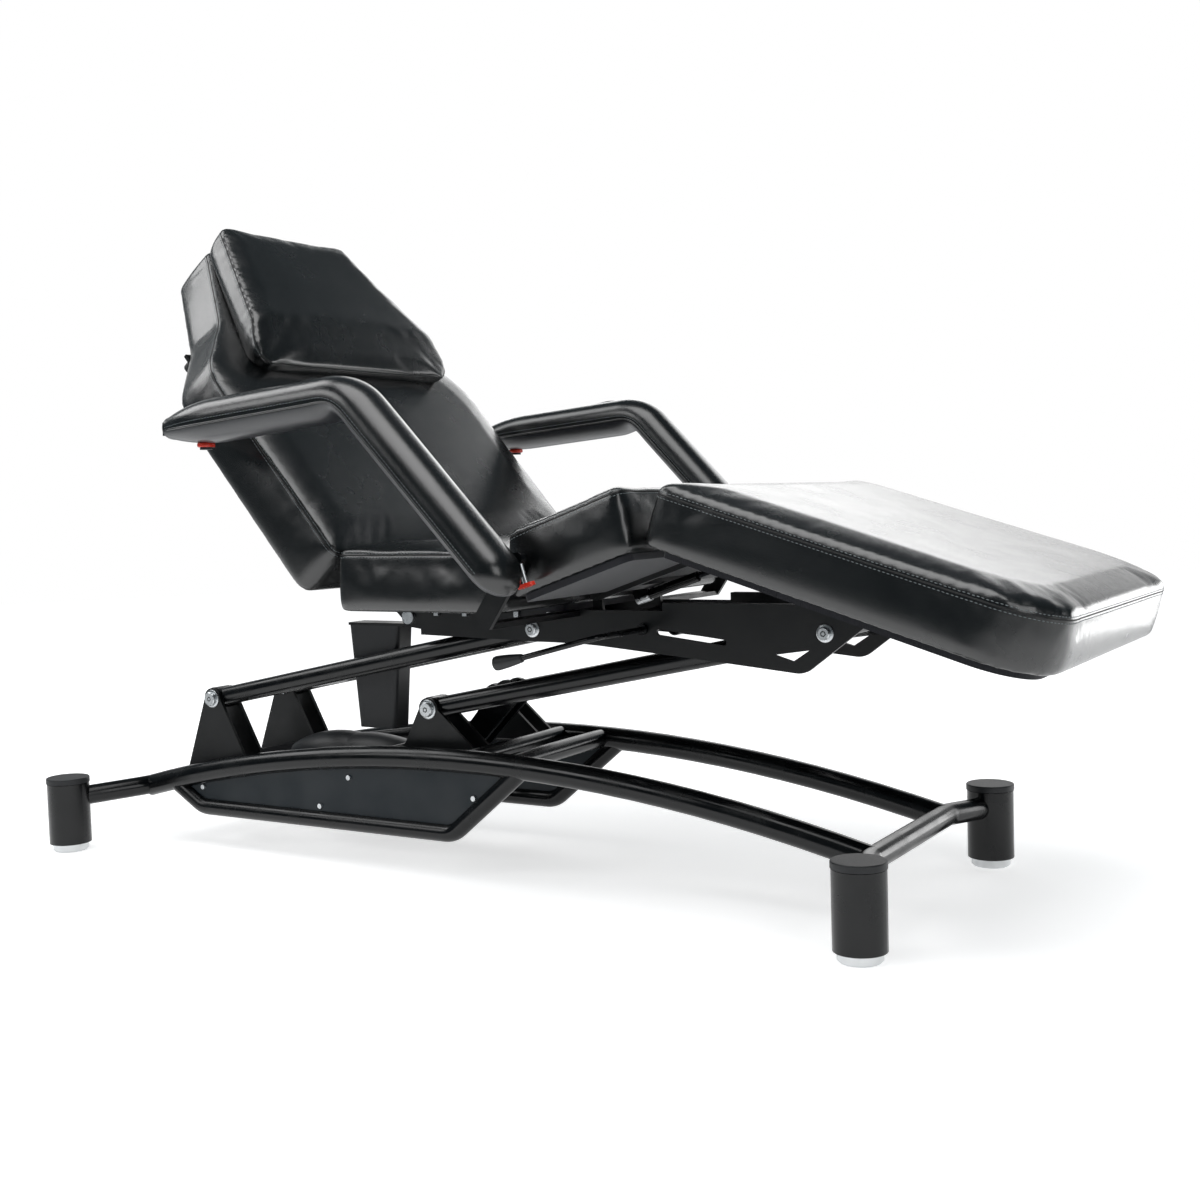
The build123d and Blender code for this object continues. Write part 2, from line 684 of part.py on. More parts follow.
def board(plane, outline, inset, thick):
    """A flat board under a cushion, drawn in from its edge."""
    plan = outline(inset, 0)
    with BuildPart() as sheet:
        with BuildSketch(plane):
            add(plan)
        extrude(amount=-thick)
    return sheet


corner_r = 26.0
corner_floor_share = 0.25


def inset_radius(radius, inset):
    """Corner radius of an outline drawn in by inset."""
    return max(radius - inset, corner_floor_share * radius)


def four_corner_outline(s_from, s_to, rear_r, front_r, half_width, rear_slant=0.0, front_slant=0.0):
    """Plan outline with a corner radius at each end; the slants move its ends with the height."""
    def draw(inset, share):
        half = half_width - inset
        rear, front = s_from + inset + share * rear_slant, s_to - inset + share * front_slant
        with BuildSketch() as plan:
            with Locations(((rear + front) / 2, 0)):
                Rectangle(front - rear, 2 * half)
            fillet(plan.vertices().group_by(Axis.X)[0], inset_radius(rear_r, inset))
            fillet(plan.vertices().group_by(Axis.X)[-1], inset_radius(front_r, inset))
        return plan.sketch
    return draw


seat_outline = four_corner_outline(-seat_rear, seat_front, corner_r, corner_r, pad_width / 2)
seat_plane = Plane((mid_x, 0, seat_bottom))
save(cushion(seat_plane, seat_outline, seat_h), "seat_cushion")
seat_board_outline = four_corner_outline(-seat_rear, seat_front, corner_r, corner_r, plate_out + 2 * board_inset)
save(board(seat_plane, seat_board_outline, board_inset, seat_bottom - plate_top), "seat_board")

# Backrest: plan outline along the leaning face, narrowed to a head section
lean = radians(back_angle)
back_plane = Plane((mid_x - back_foot_x, 0, back_foot_z), x_dir=(-cos(lean), 0, sin(lean)),
                   z_dir=(sin(lean), 0, cos(lean)))
back_low_plane = back_plane.offset(-back_thick)
shoulder_t = 425.0
shoulder_end_t = 520.0
neck_t = 600.0
head_t = 752.0
head_corner_t = 776.0
shoulder_half = 313.0
neck_half = 246.0
head_half = 165.0
head_corner_half = 138.0
neck_hollow = 5.0
shoulder_sag = 11.0
arc_share = 0.293
head_corner_share = 0.8


def back_outline(inset, share):
    """Straight sides, rounded shoulders, a hollow neck and a narrow head."""
    half = pad_width / 2 - inset
    bottom, top = back_start + inset, back_start + back_length - inset
    side = [(bottom, half - corner_r), (bottom + arc_share * corner_r, half - arc_share * corner_r),
            (bottom + corner_r, half), (shoulder_t, half),
            ((shoulder_t + shoulder_end_t) / 2 + neck_hollow, half - shoulder_sag),
            (shoulder_end_t, shoulder_half - inset), (neck_t, neck_half - inset),
            ((neck_t + head_t) / 2, (neck_half + head_half) / 2 - neck_hollow - inset),
            (head_t - inset / 2, head_half - inset),
            (head_corner_t - inset * head_corner_share, head_half - shoulder_sag * head_corner_share - inset),
            (top, head_corner_half - inset)]
    with BuildSketch() as plan:
        with BuildLine():
            for sign in (1, -1):
                p = [(t, sign * y) for t, y in side]
                ThreePointArc(p[0], p[1], p[2])
                Line(p[2], p[3])
                ThreePointArc(p[3], p[4], p[5])
                Line(p[5], p[6])
                ThreePointArc(p[6], p[7], p[8])
                ThreePointArc(p[8], p[9], p[10])
            Line((bottom, side[0][1]), (bottom, -side[0][1]))
            Line((top, side[-1][1]), (top, -side[-1][1]))
        make_face()
    return plan.sketch


# Backrest frame: two flat rails under the board, cross bars and hinge lugs
frame_bar_t = 12.0
frame_rail_w = 30.0
frame_rail_y = 118.0
back_rail_end = 560.0
back_bar_w = 40.0
lug_y = plate_y[1] - run_gap
lug_t = 8.0
lug_set_back = 1.2
under_board = back_low_plane.offset(-board_t)
back_side = Plane((back_plane.origin.X, 0, back_plane.origin.Z), x_dir=back_plane.x_dir, z_dir=(0, -1, 0))


def in_plane(plane, point):
    """A side-view point in the local coordinates of a plane whose y points along -Y of its normal."""
    local = plane.to_local_coords(Vector(point[0], plane.origin.Y, point[1]))
    return (local.X, local.Y)


hinge_local = in_plane(back_side, back_hinge)
under_level = in_plane(back_side, (under_board.origin.X, under_board.origin.Z))[1]
toward_back = 1 if under_level > 0 else -1
BACK_BARS = (130.0, 330.0, 530.0)
spring_pin_d = 8.0
crank_gap = 5.4
crank_plate_t = 6.0
root_xyz = back_side.from_local_coords((BACK_BARS[0], under_level + toward_back * (frame_bar_t + spring_pin_d), 0))
back_crank_root = (root_xyz.X, root_xyz.Z)
with BuildPart() as back_frame:
    for side in (-1, 1):
        y_in = side * lug_y
        lug_face = Plane((back_side.origin.X, max(y_in, y_in - side * lug_t), back_side.origin.Z),
                         x_dir=back_side.x_dir, z_dir=(0, -1, 0))
        with BuildSketch(lug_face):
            with Locations(hinge_local):
                Circle(hinge_ear_r)
            with Locations((back_start + frame_rail_w, under_level + toward_back * (hinge_ear_r + lug_set_back))):
                Circle(hinge_ear_r)
            make_hull()
            with Locations(hinge_local):
                Circle(hinge_d / 2 + pin_gap, mode=Mode.SUBTRACT)
        extrude(amount=lug_t)
        with BuildSketch(under_board):
            with Locations(((back_start + back_rail_end) / 2, side * frame_rail_y)):
                Rectangle(back_rail_end - back_start - frame_rail_w, frame_rail_w)
        extrude(amount=-frame_bar_t)
        with BuildSketch(under_board):
            with Locations((back_start + frame_rail_w, side * (frame_rail_y + lug_y) / 2)):
                Rectangle(frame_rail_w, lug_y - frame_rail_y + frame_rail_w)
        extrude(amount=-frame_bar_t)
    for bar_t in BACK_BARS:
        with BuildSketch(under_board):
            with Locations((bar_t, 0)):
                Rectangle(back_bar_w, 2 * frame_rail_y)
        extrude(amount=-frame_bar_t)
    for y_low in (back_spring_y - crank_gap - crank_plate_t, back_spring_y + crank_gap):
        for tip in (back_crank_pin, back_crank_root):
            with BuildSketch(side_plane(y_low + crank_plate_t)):
                with Locations(back_hinge):
                    Circle(hinge_ear_r)
                with Locations(tip):
                    Circle(spring_pin_d)
                make_hull()
                with Locations(back_hinge):
                    Circle(hinge_d / 2 + pin_gap, mode=Mode.SUBTRACT)
            extrude(amount=crank_plate_t)
    add(cross_bar(back_crank_pin[0], back_crank_pin[1], back_spring_y - crank_gap - crank_plate_t,
                  back_spring_y + crank_gap + crank_plate_t, spring_pin_d))
save(back_frame, "back_frame")

# Gas spring of the backrest: a rod with an eye round the crank's pin, and its tube
spring_rod_d = 10.0
spring_tube_d = 24.0
spring_bore_d = 18.0
spring_eye_gap = 3.0
spring_eye_wall = 3.2
spring_tube_back = 20.0
spring_tube_start = mid_x - spring_tube_back
spring_lap = 100.0
with BuildPart() as back_spring_rod:
    eye_d = spring_pin_d + 2 * spring_eye_gap
    eye_half = crank_gap - run_gap
    rod_x, rod_y = back_crank_pin[0], back_spring_y
    add(straight_bar((rod_x, back_spring_z), (spring_tube_start + spring_lap, back_spring_z), rod_y, spring_rod_d))
    add(cross_bar(rod_x, back_spring_z, rod_y - eye_half, rod_y + eye_half, eye_d + 2 * spring_eye_wall))
    add(cross_bar(rod_x, back_spring_z, rod_y - crank_gap, rod_y + crank_gap, eye_d), mode=Mode.SUBTRACT)
save(back_spring_rod, "back_spring_rod")

with BuildPart() as back_spring_tube:
    tube_start, tube_end = (spring_tube_start, back_spring_z), (back_spring_end - hinge_knuckle_r, back_spring_z)
    add(straight_bar(tube_start, tube_end, back_spring_y, spring_tube_d))
    add(straight_bar(tube_start, (tube_end[0] - spring_tube_d, back_spring_z), back_spring_y, spring_bore_d),
        mode=Mode.SUBTRACT)
save(back_spring_tube, "back_spring_tube")

# Thigh section: cushion, board, steel frame with hinge knuckles
thigh = radians(thigh_angle)
thigh_plane = Plane((thigh_hinge[0], 0, thigh_hinge[1]), x_dir=(cos(thigh), 0, sin(thigh)),
                    z_dir=(-sin(thigh), 0, cos(thigh)))
thigh_base_n = 8.0
thigh_thick = 92.0
thigh_start = 4.0
thigh_end = 226.0
thigh_rear_slant = 31.0
thigh_front_slant = 16.0
thigh_bar_t = 8.0
thigh_rail_w = 30.0
thigh_outline = four_corner_outline(thigh_start, thigh_end, corner_r, corner_r, pad_width / 2,
                                    thigh_rear_slant, thigh_front_slant)
thigh_board_plane = thigh_plane.offset(thigh_base_n)
save(cushion(thigh_board_plane, thigh_outline, thigh_thick), "thigh_cushion")
thigh_board_outline = four_corner_outline(thigh_start + knee_lug_t, thigh_end, corner_r, corner_r,
                                          pad_width / 2)
save(board(thigh_board_plane, thigh_board_outline, board_inset / 2, board_t), "thigh_board")

thigh_side = Plane((thigh_hinge[0], 0, thigh_hinge[1]), x_dir=thigh_plane.x_dir, z_dir=(0, -1, 0))
thigh_under = thigh_base_n - board_t
strut_n = -19.0
strut_start = 12.0
strut_tube_end = 132.0
strut_tube_d = 17.0
strut_bore_d = 13.0
strut_head_d = 20.0
strut_head_l = 26.0
strut_rod_d = 8.0
strut_pin_d = 8.0
strut_eye_d = 20.0
strut_eye_gap = 2.0
strut_gap = 4.6
strut_plate_t = 6.0
knee_crank = 22.0
knee_crank_lag = (thigh_angle + leg_angle) / 2
strut_pin_s = knee_s - knee_crank * sin(radians(knee_crank_lag))
strut_pin_n = knee_n - knee_crank * cos(radians(knee_crank_lag))
THIGH_BARS = (62.0, 185.0)


def at_y(plane, y):
    """The same side view moved to another y."""
    return Plane((plane.origin.X, y, plane.origin.Z), x_dir=plane.x_dir, z_dir=(0, -1, 0))


def strut_bar(s_from, s_to, diameter):
    """A round bar along the knee strut's axis, by distances from the thigh hinge."""
    with BuildPart() as bar:
        start = thigh_side.from_local_coords((s_from, strut_n, 0))
        with BuildSketch(Plane(start, z_dir=thigh_plane.x_dir)):
            Circle(diameter / 2)
        extrude(amount=s_to - s_from)
    return bar.part


with BuildPart() as thigh_frame:
    for side in (-1, 1):
        y_out = max(side * thigh_lug_y, side * (thigh_lug_y + knee_lug_t))
        with BuildSketch(at_y(thigh_side, y_out)):
            with BuildLine():
                Polyline((0, thigh_under), (knee_s, thigh_under), (knee_s, thigh_under - thigh_bar_t),
                         (0, thigh_under - thigh_bar_t), close=True)
            make_face()
            with Locations((0, 0), (knee_s, knee_n)):
                Circle(hinge_knuckle_r)
                Circle(knee_pin_d / 2 + pin_gap, mode=Mode.SUBTRACT)
        extrude(amount=knee_lug_t)
    for bar_s in THIGH_BARS:
        with BuildSketch(thigh_plane.offset(thigh_under)):
            with Locations((bar_s, 0)):
                Rectangle(thigh_rail_w, 2 * thigh_lug_y)
        extrude(amount=-thigh_bar_t)
    with BuildSketch(at_y(thigh_side, strut_head_d / 2)):
        with Locations((strut_start + strut_head_l / 2, (thigh_under + strut_n) / 2)):
            Rectangle(strut_head_l, thigh_under - strut_n)
    extrude(amount=strut_head_d)
    with BuildSketch(thigh_plane.offset(thigh_under)):
        with Locations(((strut_start + THIGH_BARS[0]) / 2, 0)):
            Rectangle(THIGH_BARS[0] - strut_start, strut_head_d)
    extrude(amount=-thigh_bar_t / 2)
    add(strut_bar(-strut_head_l, knee_s, strut_head_d), mode=Mode.SUBTRACT)
save(thigh_frame, "thigh_frame")


with BuildPart() as knee_spring_tube:
    add(strut_bar(strut_start, strut_start + strut_head_l, strut_head_d))
    add(strut_bar(strut_start + strut_head_l, strut_tube_end, strut_tube_d))
    add(strut_bar(strut_start + 2 * strut_head_l, strut_tube_end + overrun, strut_bore_d), mode=Mode.SUBTRACT)
save(knee_spring_tube, "knee_spring_tube")

knee_pin_xyz = thigh_side.from_local_coords((strut_pin_s, strut_pin_n, 0))
with BuildPart() as knee_spring_rod:
    add(strut_bar(strut_tube_end - 2 * strut_head_l, strut_pin_s, strut_rod_d))
    for half, d, mode in ((strut_gap - run_gap, strut_eye_d, Mode.ADD),
                          (strut_gap, strut_pin_d + 2 * strut_eye_gap, Mode.SUBTRACT)):
        add(cross_bar(knee_pin_xyz.X, knee_pin_xyz.Z, -half, half, d), mode=mode)
save(knee_spring_rod, "knee_spring_rod")

# Leg rest: cushion, board, steel frame with knuckles, crank and rails that lie on the seat frame
leg = radians(leg_angle)
knee_xyz = thigh_side.from_local_coords((knee_s, knee_n, 0))
leg_plane = Plane((knee_xyz.X, 0, knee_xyz.Z), x_dir=(cos(leg), 0, -sin(leg)), z_dir=(sin(leg), 0, cos(leg)))
leg_side = Plane((knee_xyz.X, 0, knee_xyz.Z), x_dir=leg_plane.x_dir, z_dir=(0, -1, 0))
leg_corner_r = 100.0
leg_rail_n = -9.0
leg_rail_w = 24.0
leg_rail_y = plate_y[1] + plate_t / 2
leg_rail_start = 24.0
leg_rail_end = 480.0
LEG_BARS = (40.0, 250.0, 462.0)
leg_outline = four_corner_outline(leg_start_s, leg_start_s + leg_length, corner_r, leg_corner_r, pad_width / 2)
leg_board_plane = leg_plane.offset(leg_start_n)
save(cushion(leg_board_plane, leg_outline, leg_thick), "leg_cushion")
save(board(leg_board_plane, leg_outline, board_inset, board_t), "leg_board")

leg_under = leg_start_n - board_t
with BuildPart() as leg_frame:
    for side in (-1, 1):
        with BuildSketch(leg_plane.offset(leg_under)):
            with Locations(((leg_rail_start + leg_rail_end) / 2, side * leg_rail_y)):
                Rectangle(leg_rail_end - leg_rail_start, leg_rail_w)
        extrude(amount=leg_rail_n - leg_under)
        y_out = max(side * seat_lug_y, side * (seat_lug_y + knee_lug_t))
        with BuildSketch(at_y(leg_side, y_out)):
            with BuildLine():
                Polyline((0, leg_under), (LEG_BARS[0], leg_under), (LEG_BARS[0], leg_rail_n), (0, leg_rail_n),
                         close=True)
            make_face()
            Circle(hinge_knuckle_r)
        extrude(amount=knee_lug_t)
        pin_from, pin_to = sorted((side * seat_lug_y, side * (thigh_lug_y + knee_lug_t)))
        add(cross_bar(knee_xyz.X, knee_xyz.Z, pin_from, pin_to, knee_pin_d))
    for bar_s in LEG_BARS:
        with BuildSketch(leg_plane.offset(leg_under)):
            with Locations((bar_s, 0)):
                Rectangle(thigh_rail_w, 2 * leg_rail_y)
        extrude(amount=leg_rail_n - leg_under)
    crank_root = leg_side.from_local_coords((LEG_BARS[0], leg_under - strut_pin_d, 0))
    for y_low in (-strut_gap - strut_plate_t, strut_gap):
        with BuildSketch(side_plane(y_low + strut_plate_t)):
            with Locations((knee_pin_xyz.X, knee_pin_xyz.Z), (crank_root.X, crank_root.Z)):
                Circle(strut_pin_d)
            make_hull()
        extrude(amount=strut_plate_t)
    add(cross_bar(knee_pin_xyz.X, knee_pin_xyz.Z, -strut_gap - strut_plate_t, strut_gap + strut_plate_t,
                  strut_pin_d))
save(leg_frame, "leg_frame")

# Headrest: pillow on two stems that slide in slots through the backrest
pillow_gap = 1.0
pillow_thick = 55.0
pillow_low_t = 462.0
pillow_top_t = 790.0
pillow_low_half = 274.0
pillow_top_half = 168.0
pillow_r = 42.0
stem_t = 600.0
stem_y = 60.0
stem_d = 12.0
stem_bite = 24.0
slot_travel = 62.0
stem_gap = 1.0
slide_gap = 3.0
slide_plate_h = 40.0
slide_plate_half = 238.0
slide_plate_t = 6.0
knob_y = 226.0
knob_d = 26.0
knob_t = 14.0
knob_stud_d = 8.0


def pillow_outline(inset, share):
    """Trapezium with round corners, wide at the neck."""
    low, top = pillow_low_t + inset, pillow_top_t - inset
    with BuildSketch() as plan:
        with BuildLine():
            Polyline((low, pillow_low_half - inset), (low, inset - pillow_low_half),
                     (top, inset - pillow_top_half), (top, pillow_top_half - inset), close=True)
        make_face()
        fillet(plan.vertices(), inset_radius(pillow_r, inset))
    return plan.sketch


pillow_plane = back_plane.offset(pillow_gap)
behind = back_low_plane.offset(-board_t - slide_gap)
with BuildPart() as headrest_mount:
    with BuildSketch(behind):
        with Locations((stem_t, 0)):
            Rectangle(slide_plate_h, 2 * slide_plate_half)
        for side in (-1, 1):
            with Locations((stem_t, side * knob_y)):
                Circle(knob_stud_d / 2 + pin_gap, mode=Mode.SUBTRACT)
    extrude(amount=-slide_plate_t)
    with BuildSketch(behind):
        with Locations((stem_t, -stem_y), (stem_t, stem_y)):
            Circle(stem_d / 2)
    extrude(amount=back_thick + board_t + slide_gap + pillow_gap + stem_bite)
save(headrest_mount, "headrest_mount")

with BuildPart() as headrest_pillow:
    add(cushion(pillow_plane, pillow_outline, pillow_thick).part)
    add(headrest_mount.part, mode=Mode.SUBTRACT)
save(headrest_pillow, "headrest_pillow")

for side_name, side in SIDES:
    with BuildPart() as knob:
        knob_face = behind.offset(-slide_plate_t - run_gap)
        with BuildSketch(knob_face):
            with Locations((stem_t, -side * knob_y)):
                Circle(knob_d / 2)
        extrude(amount=-knob_t)
        fillet(knob.edges().filter_by(GeomType.CIRCLE), cap_round)
        with BuildSketch(knob_face):
            with Locations((stem_t, -side * knob_y)):
                Circle(knob_stud_d / 2)
        extrude(amount=slide_plate_t)
    save(knob, f"headrest_knob_{side_name}")

with BuildPart() as stem_slots:
    with BuildSketch(under_board.offset(-overrun)):
        with Locations(*[(stem_t + slot_travel / 2, side * stem_y) for side in (-1, 1)]):
            SlotOverall(slot_travel + stem_d + 2 * stem_gap, stem_d + 2 * stem_gap)
    extrude(amount=back_thick + board_t + 2 * overrun)
for label, solid in (("back_cushion", cushion(back_low_plane, back_outline, back_thick).part),
                     ("back_board", board(back_low_plane, back_outline, board_inset, board_t).part)):
    with BuildPart() as slotted:
        add(solid)
        add(stem_slots.part, mode=Mode.SUBTRACT)
    save(slotted, label)

# Armrests: a padded bent bar that swings up about its front foot, drawn about the pad's own middle
arm_clear = 79.0
arm_pad_y = pad_width / 2 + arm_clear
arm_half = 44.0
arm_dome = 35.0
arm_belly = 20.0
arm_bend_r = 80.0
arm_tip_x = 301.0
arm_tip_z = 773.0
arm_bend_x = 19.0
arm_bend_z = 819.0
arm_foot_x = 296.0
arm_foot_z = 538.0
arm_tip = (-arm_tip_x, arm_tip_z)
arm_bend = (arm_bend_x, arm_bend_z)
arm_foot = (arm_foot_x, arm_foot_z)
arm_bar_d = 20.0
arm_sleeve_d = 34.0
arm_pin_d = 14.0
bracket_clear = 9.0
arm_bracket_y = pad_width / 2 + bracket_clear
arm_bracket_t = 8.0
arm_bracket_w = 34.0
arm_bracket_z = 443.0
arm_bracket_lean = 62.0
arm_sleeve_in = arm_bracket_y + arm_bracket_t + open_gap
arm_sleeve_past = 18.0
arm_sleeve_out = arm_pad_y + arm_sleeve_past
diagonal = radians(45)
tip_fitting_d = 16.0
fitting_ahead = 27.0
fitting_drop = 21.0
fitting_top = (arm_tip[0] - fitting_ahead, arm_tip_z)
fitting_low = (fitting_top[0], arm_tip_z - fitting_drop)
pull_d = 10.0
pull_hole_d = 14.0
pull_x = -243.0
pull_low_z = 726.0
pull_knob_d = 20.0
pull_knob_h = 15.0
pull_ring_d = 26.0
pull_ring_h = 6.0
catch_d = 8.0
catch_boss_r = 9.0
catch_boss_t = 13.0
catch_boss_gap = 0.5
catch_ahead = 18.0
catch_rise = 10.0
catch_run = 11.0
catch_fall = 36.0
catch_top = (arm_foot[0] + catch_ahead, arm_foot[1] + catch_rise)
catch_low = (catch_top[0] + catch_run, catch_top[1] - catch_fall)
catch_y = arm_sleeve_in + catch_boss_gap + catch_boss_t / 2
tab_l = 28.0
tab_h = 5.0
tab_w = 16.0


def section_at(point, toward):
    """Plane across the armrest's path, with local y away from its belly."""
    dx, dz = toward[0] - point[0], toward[1] - point[1]
    return Plane((point[0], 0, point[1]), x_dir=(0, 1, 0), z_dir=(dx, 0, dz))


def half_section():
    """Half of the pad's section: dome above the seam, belly below, closed on its axis."""
    with BuildSketch() as half:
        with BuildLine():
            ThreePointArc((0, arm_dome), (arm_half * cos(diagonal), arm_dome * sin(diagonal)), (arm_half, 0))
            ThreePointArc((arm_half, 0), (arm_half * cos(diagonal), -arm_belly * sin(diagonal)), (0, -arm_belly))
            Line((0, -arm_belly), (0, arm_dome))
        make_face()
    return half.sketch


def save_armrest(piece, side, label):
    """Move a piece drawn about the pad's middle to its side of the chair, and write it."""
    piece.part = piece.part.moved(Location((mid_x, side * arm_pad_y, 0)))
    save(piece, label)


HALF = half_section()
ARM_PATH = [(x, 0, z) for x, z in (arm_tip, arm_bend, arm_foot)]
for side_name, side in SIDES:
    y_from, y_to = sorted((side * (arm_sleeve_in - arm_pad_y), side * (arm_sleeve_out - arm_pad_y)))
    boss_y = side * (catch_y - arm_pad_y)
    with BuildPart() as arm_frame:
        add(bar_along(ARM_PATH, arm_bend_r, arm_bar_d))
        add(straight_bar(fitting_top, arm_tip, 0, arm_bar_d / 2))
        add(straight_bar(fitting_top, fitting_low, 0, tip_fitting_d))
        add(cross_bar(arm_foot[0], arm_foot[1], y_from, y_to, arm_sleeve_d))
        with BuildSketch(side_plane(boss_y + catch_boss_t / 2)):
            with Locations(arm_foot):
                Circle(arm_sleeve_d / 2)
            with Locations(catch_top):
                Circle(catch_boss_r)
            make_hull()
        extrude(amount=catch_boss_t)
        add(cross_bar(arm_foot[0], arm_foot[1], y_from - overrun, y_to + overrun, arm_pin_d + 2 * pin_gap),
            mode=Mode.SUBTRACT)
        add(straight_bar((pull_x, arm_tip_z), (pull_x, pull_low_z), 0, pull_d + 2 * pin_gap), mode=Mode.SUBTRACT)
        add(straight_bar(catch_top, catch_low, boss_y, catch_d + 2 * pin_gap), mode=Mode.SUBTRACT)
    save_armrest(arm_frame, side, f"armrest_frame_{side_name}")

    with BuildPart() as rear_pull:
        ring_z = pull_low_z + pull_knob_h
        add(straight_bar((pull_x, arm_tip_z), (pull_x, pull_low_z), 0, pull_d))
        add(straight_bar((pull_x, pull_low_z), (pull_x, ring_z), 0, pull_knob_d))
        add(straight_bar((pull_x, ring_z), (pull_x, ring_z + pull_ring_h), 0, pull_ring_d))
    save_armrest(rear_pull, side, f"armrest_pull_{side_name}")

    with BuildPart() as front_catch:
        add(straight_bar(catch_top, catch_low, boss_y, catch_d))
        with BuildSketch(Plane((catch_low[0], boss_y, catch_low[1]), x_dir=(-catch_fall, 0, -catch_run),
                               z_dir=(catch_run, 0, -catch_fall))):
            SlotOverall(tab_l, tab_w)
        extrude(amount=tab_h)
    save_armrest(front_catch, side, f"armrest_catch_{side_name}")

    with BuildPart() as arm_pad:
        with BuildLine() as arm_path:
            FilletPolyline(*ARM_PATH, radius=arm_bend_r)
        with BuildSketch(section_at(arm_tip, arm_bend)):
            add(HALF)
            mirror(about=Plane.YZ)
        sweep(path=arm_path.line)
        for point, other in ((arm_tip, arm_bend), (arm_foot, along(arm_bend, arm_foot, 2 * hypot(*arm_foot)))):
            cap_plane = section_at(point, other)
            with BuildSketch(cap_plane):
                add(HALF)
            revolve(axis=Axis(cap_plane.origin, cap_plane.y_dir))
        add(bar_along(ARM_PATH, arm_bend_r, arm_bar_d), mode=Mode.SUBTRACT)
        add(straight_bar(fitting_top, arm_tip, 0, arm_bar_d / 2), mode=Mode.SUBTRACT)
        add(straight_bar(fitting_top, (fitting_top[0], pull_low_z), 0, tip_fitting_d), mode=Mode.SUBTRACT)
        add(straight_bar((pull_x, arm_tip_z), (pull_x, pull_low_z), 0, pull_hole_d), mode=Mode.SUBTRACT)
        add(cross_bar(arm_foot[0], arm_foot[1], y_from - overrun, y_to + overrun, arm_sleeve_d),
            mode=Mode.SUBTRACT)
        with BuildSketch(side_plane(boss_y + catch_boss_t / 2 + run_gap)):
            with Locations(arm_foot):
                Circle(arm_sleeve_d / 2 + run_gap)
            with Locations(catch_top, catch_low):
                Circle(catch_boss_r + run_gap)
            make_hull()
        extrude(amount=catch_boss_t + 2 * run_gap, mode=Mode.SUBTRACT)
    save_armrest(arm_pad, side, f"armrest_pad_{side_name}")

foot_x = mid_x + arm_foot_x
with BuildPart() as armrest_brackets:
    for side in (-1, 1):
        y_in, y_out = sorted((side * plate_out, side * (arm_bracket_y + arm_bracket_t)))
        with BuildSketch(Plane((foot_x - arm_bracket_lean, (y_in + y_out) / 2, arm_bracket_z))):
            Rectangle(arm_bracket_w, y_out - y_in)
        extrude(amount=arm_bracket_t)
        with BuildSketch(side_plane(max(side * arm_bracket_y, side * (arm_bracket_y + arm_bracket_t)))):
            with Locations((foot_x - arm_bracket_lean, arm_bracket_z + arm_bracket_t / 2)):
                Rectangle(arm_bracket_w, arm_bracket_t)
            with Locations((foot_x, arm_foot_z)):
                Circle(arm_bracket_w / 2)
            make_hull()
        extrude(amount=arm_bracket_t)
        pin_from, pin_to = sorted((side * arm_bracket_y, side * arm_sleeve_out))
        add(cross_bar(foot_x, arm_foot_z, pin_from, pin_to, arm_pin_d))
save(armrest_brackets, "armrest_brackets")

# Release lever: a bent rod through the near side plate with a conical grip
lever_out_y = -262.0
lever_grip_y = -274.0
lever_back = 132.0
lever_fall = 34.0
grip_back = 44.0
grip_fall = 9.0
lever_grip = (lever_pivot[0] - lever_back, lever_pivot[1] - lever_fall)
lever_tip = (lever_grip[0] - grip_back, lever_grip[1] - grip_fall)
lever_bend_r = 16.0
grip_d = 22.0
grip_small_d = 12.0
lever_collar_d = 18.0
lever_collar_t = 6.0
with BuildPart() as release_lever:
    add(bar_along([(lever_pivot[0], -plate_y[1] + knee_lug_t, lever_pivot[1]),
                   (lever_pivot[0], lever_out_y, lever_pivot[1]),
                   (lever_grip[0], lever_grip_y, lever_grip[1])], lever_bend_r, lever_d))
    add(cross_bar(lever_pivot[0], lever_pivot[1], -plate_out - run_gap - lever_collar_t, -plate_out - run_gap,
                  lever_collar_d))
    grip_axis = Vector(lever_tip[0] - lever_grip[0], 0, lever_tip[1] - lever_grip[1])
    for distance, diameter in ((0, grip_small_d), (grip_axis.length, grip_d)):
        origin = Vector(lever_grip[0], lever_grip_y, lever_grip[1]) + grip_axis.normalized() * distance
        with BuildSketch(Plane(origin, z_dir=grip_axis)):
            Circle(diameter / 2)
    loft()
save(release_lever, "release_lever")
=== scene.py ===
"""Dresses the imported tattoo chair: padded leather, stitching, paint, steel and a studio stage.

Metres, +Z up, +X towards the leg rest, -Y is the side with the release lever. The measures of the
covers, armrests and fasteners below are in millimetres, with x counted from the base's middle.
"""
import json
from math import cos, pi, radians, sin, tan

import bpy
import numpy as np
from mathutils import Matrix, Vector


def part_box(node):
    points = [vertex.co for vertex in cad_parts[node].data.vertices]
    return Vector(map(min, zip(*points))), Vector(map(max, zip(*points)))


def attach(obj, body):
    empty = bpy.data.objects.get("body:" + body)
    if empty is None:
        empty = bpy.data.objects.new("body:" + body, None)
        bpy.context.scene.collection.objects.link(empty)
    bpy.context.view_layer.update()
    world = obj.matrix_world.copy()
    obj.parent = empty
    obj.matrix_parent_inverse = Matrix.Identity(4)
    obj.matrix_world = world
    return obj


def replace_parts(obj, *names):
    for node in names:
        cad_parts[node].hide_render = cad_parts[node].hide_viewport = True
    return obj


bl_info = {
    "name": "Tattoo chair",
    "version": (1, 0, 0),
    "blender": (4, 5, 0),
    "location": "View3D > Sidebar > Tattoo chair",
    "description": "Builds the covers, finishes and stage of a reclining tattoo chair",
    "category": "Add Mesh",
}

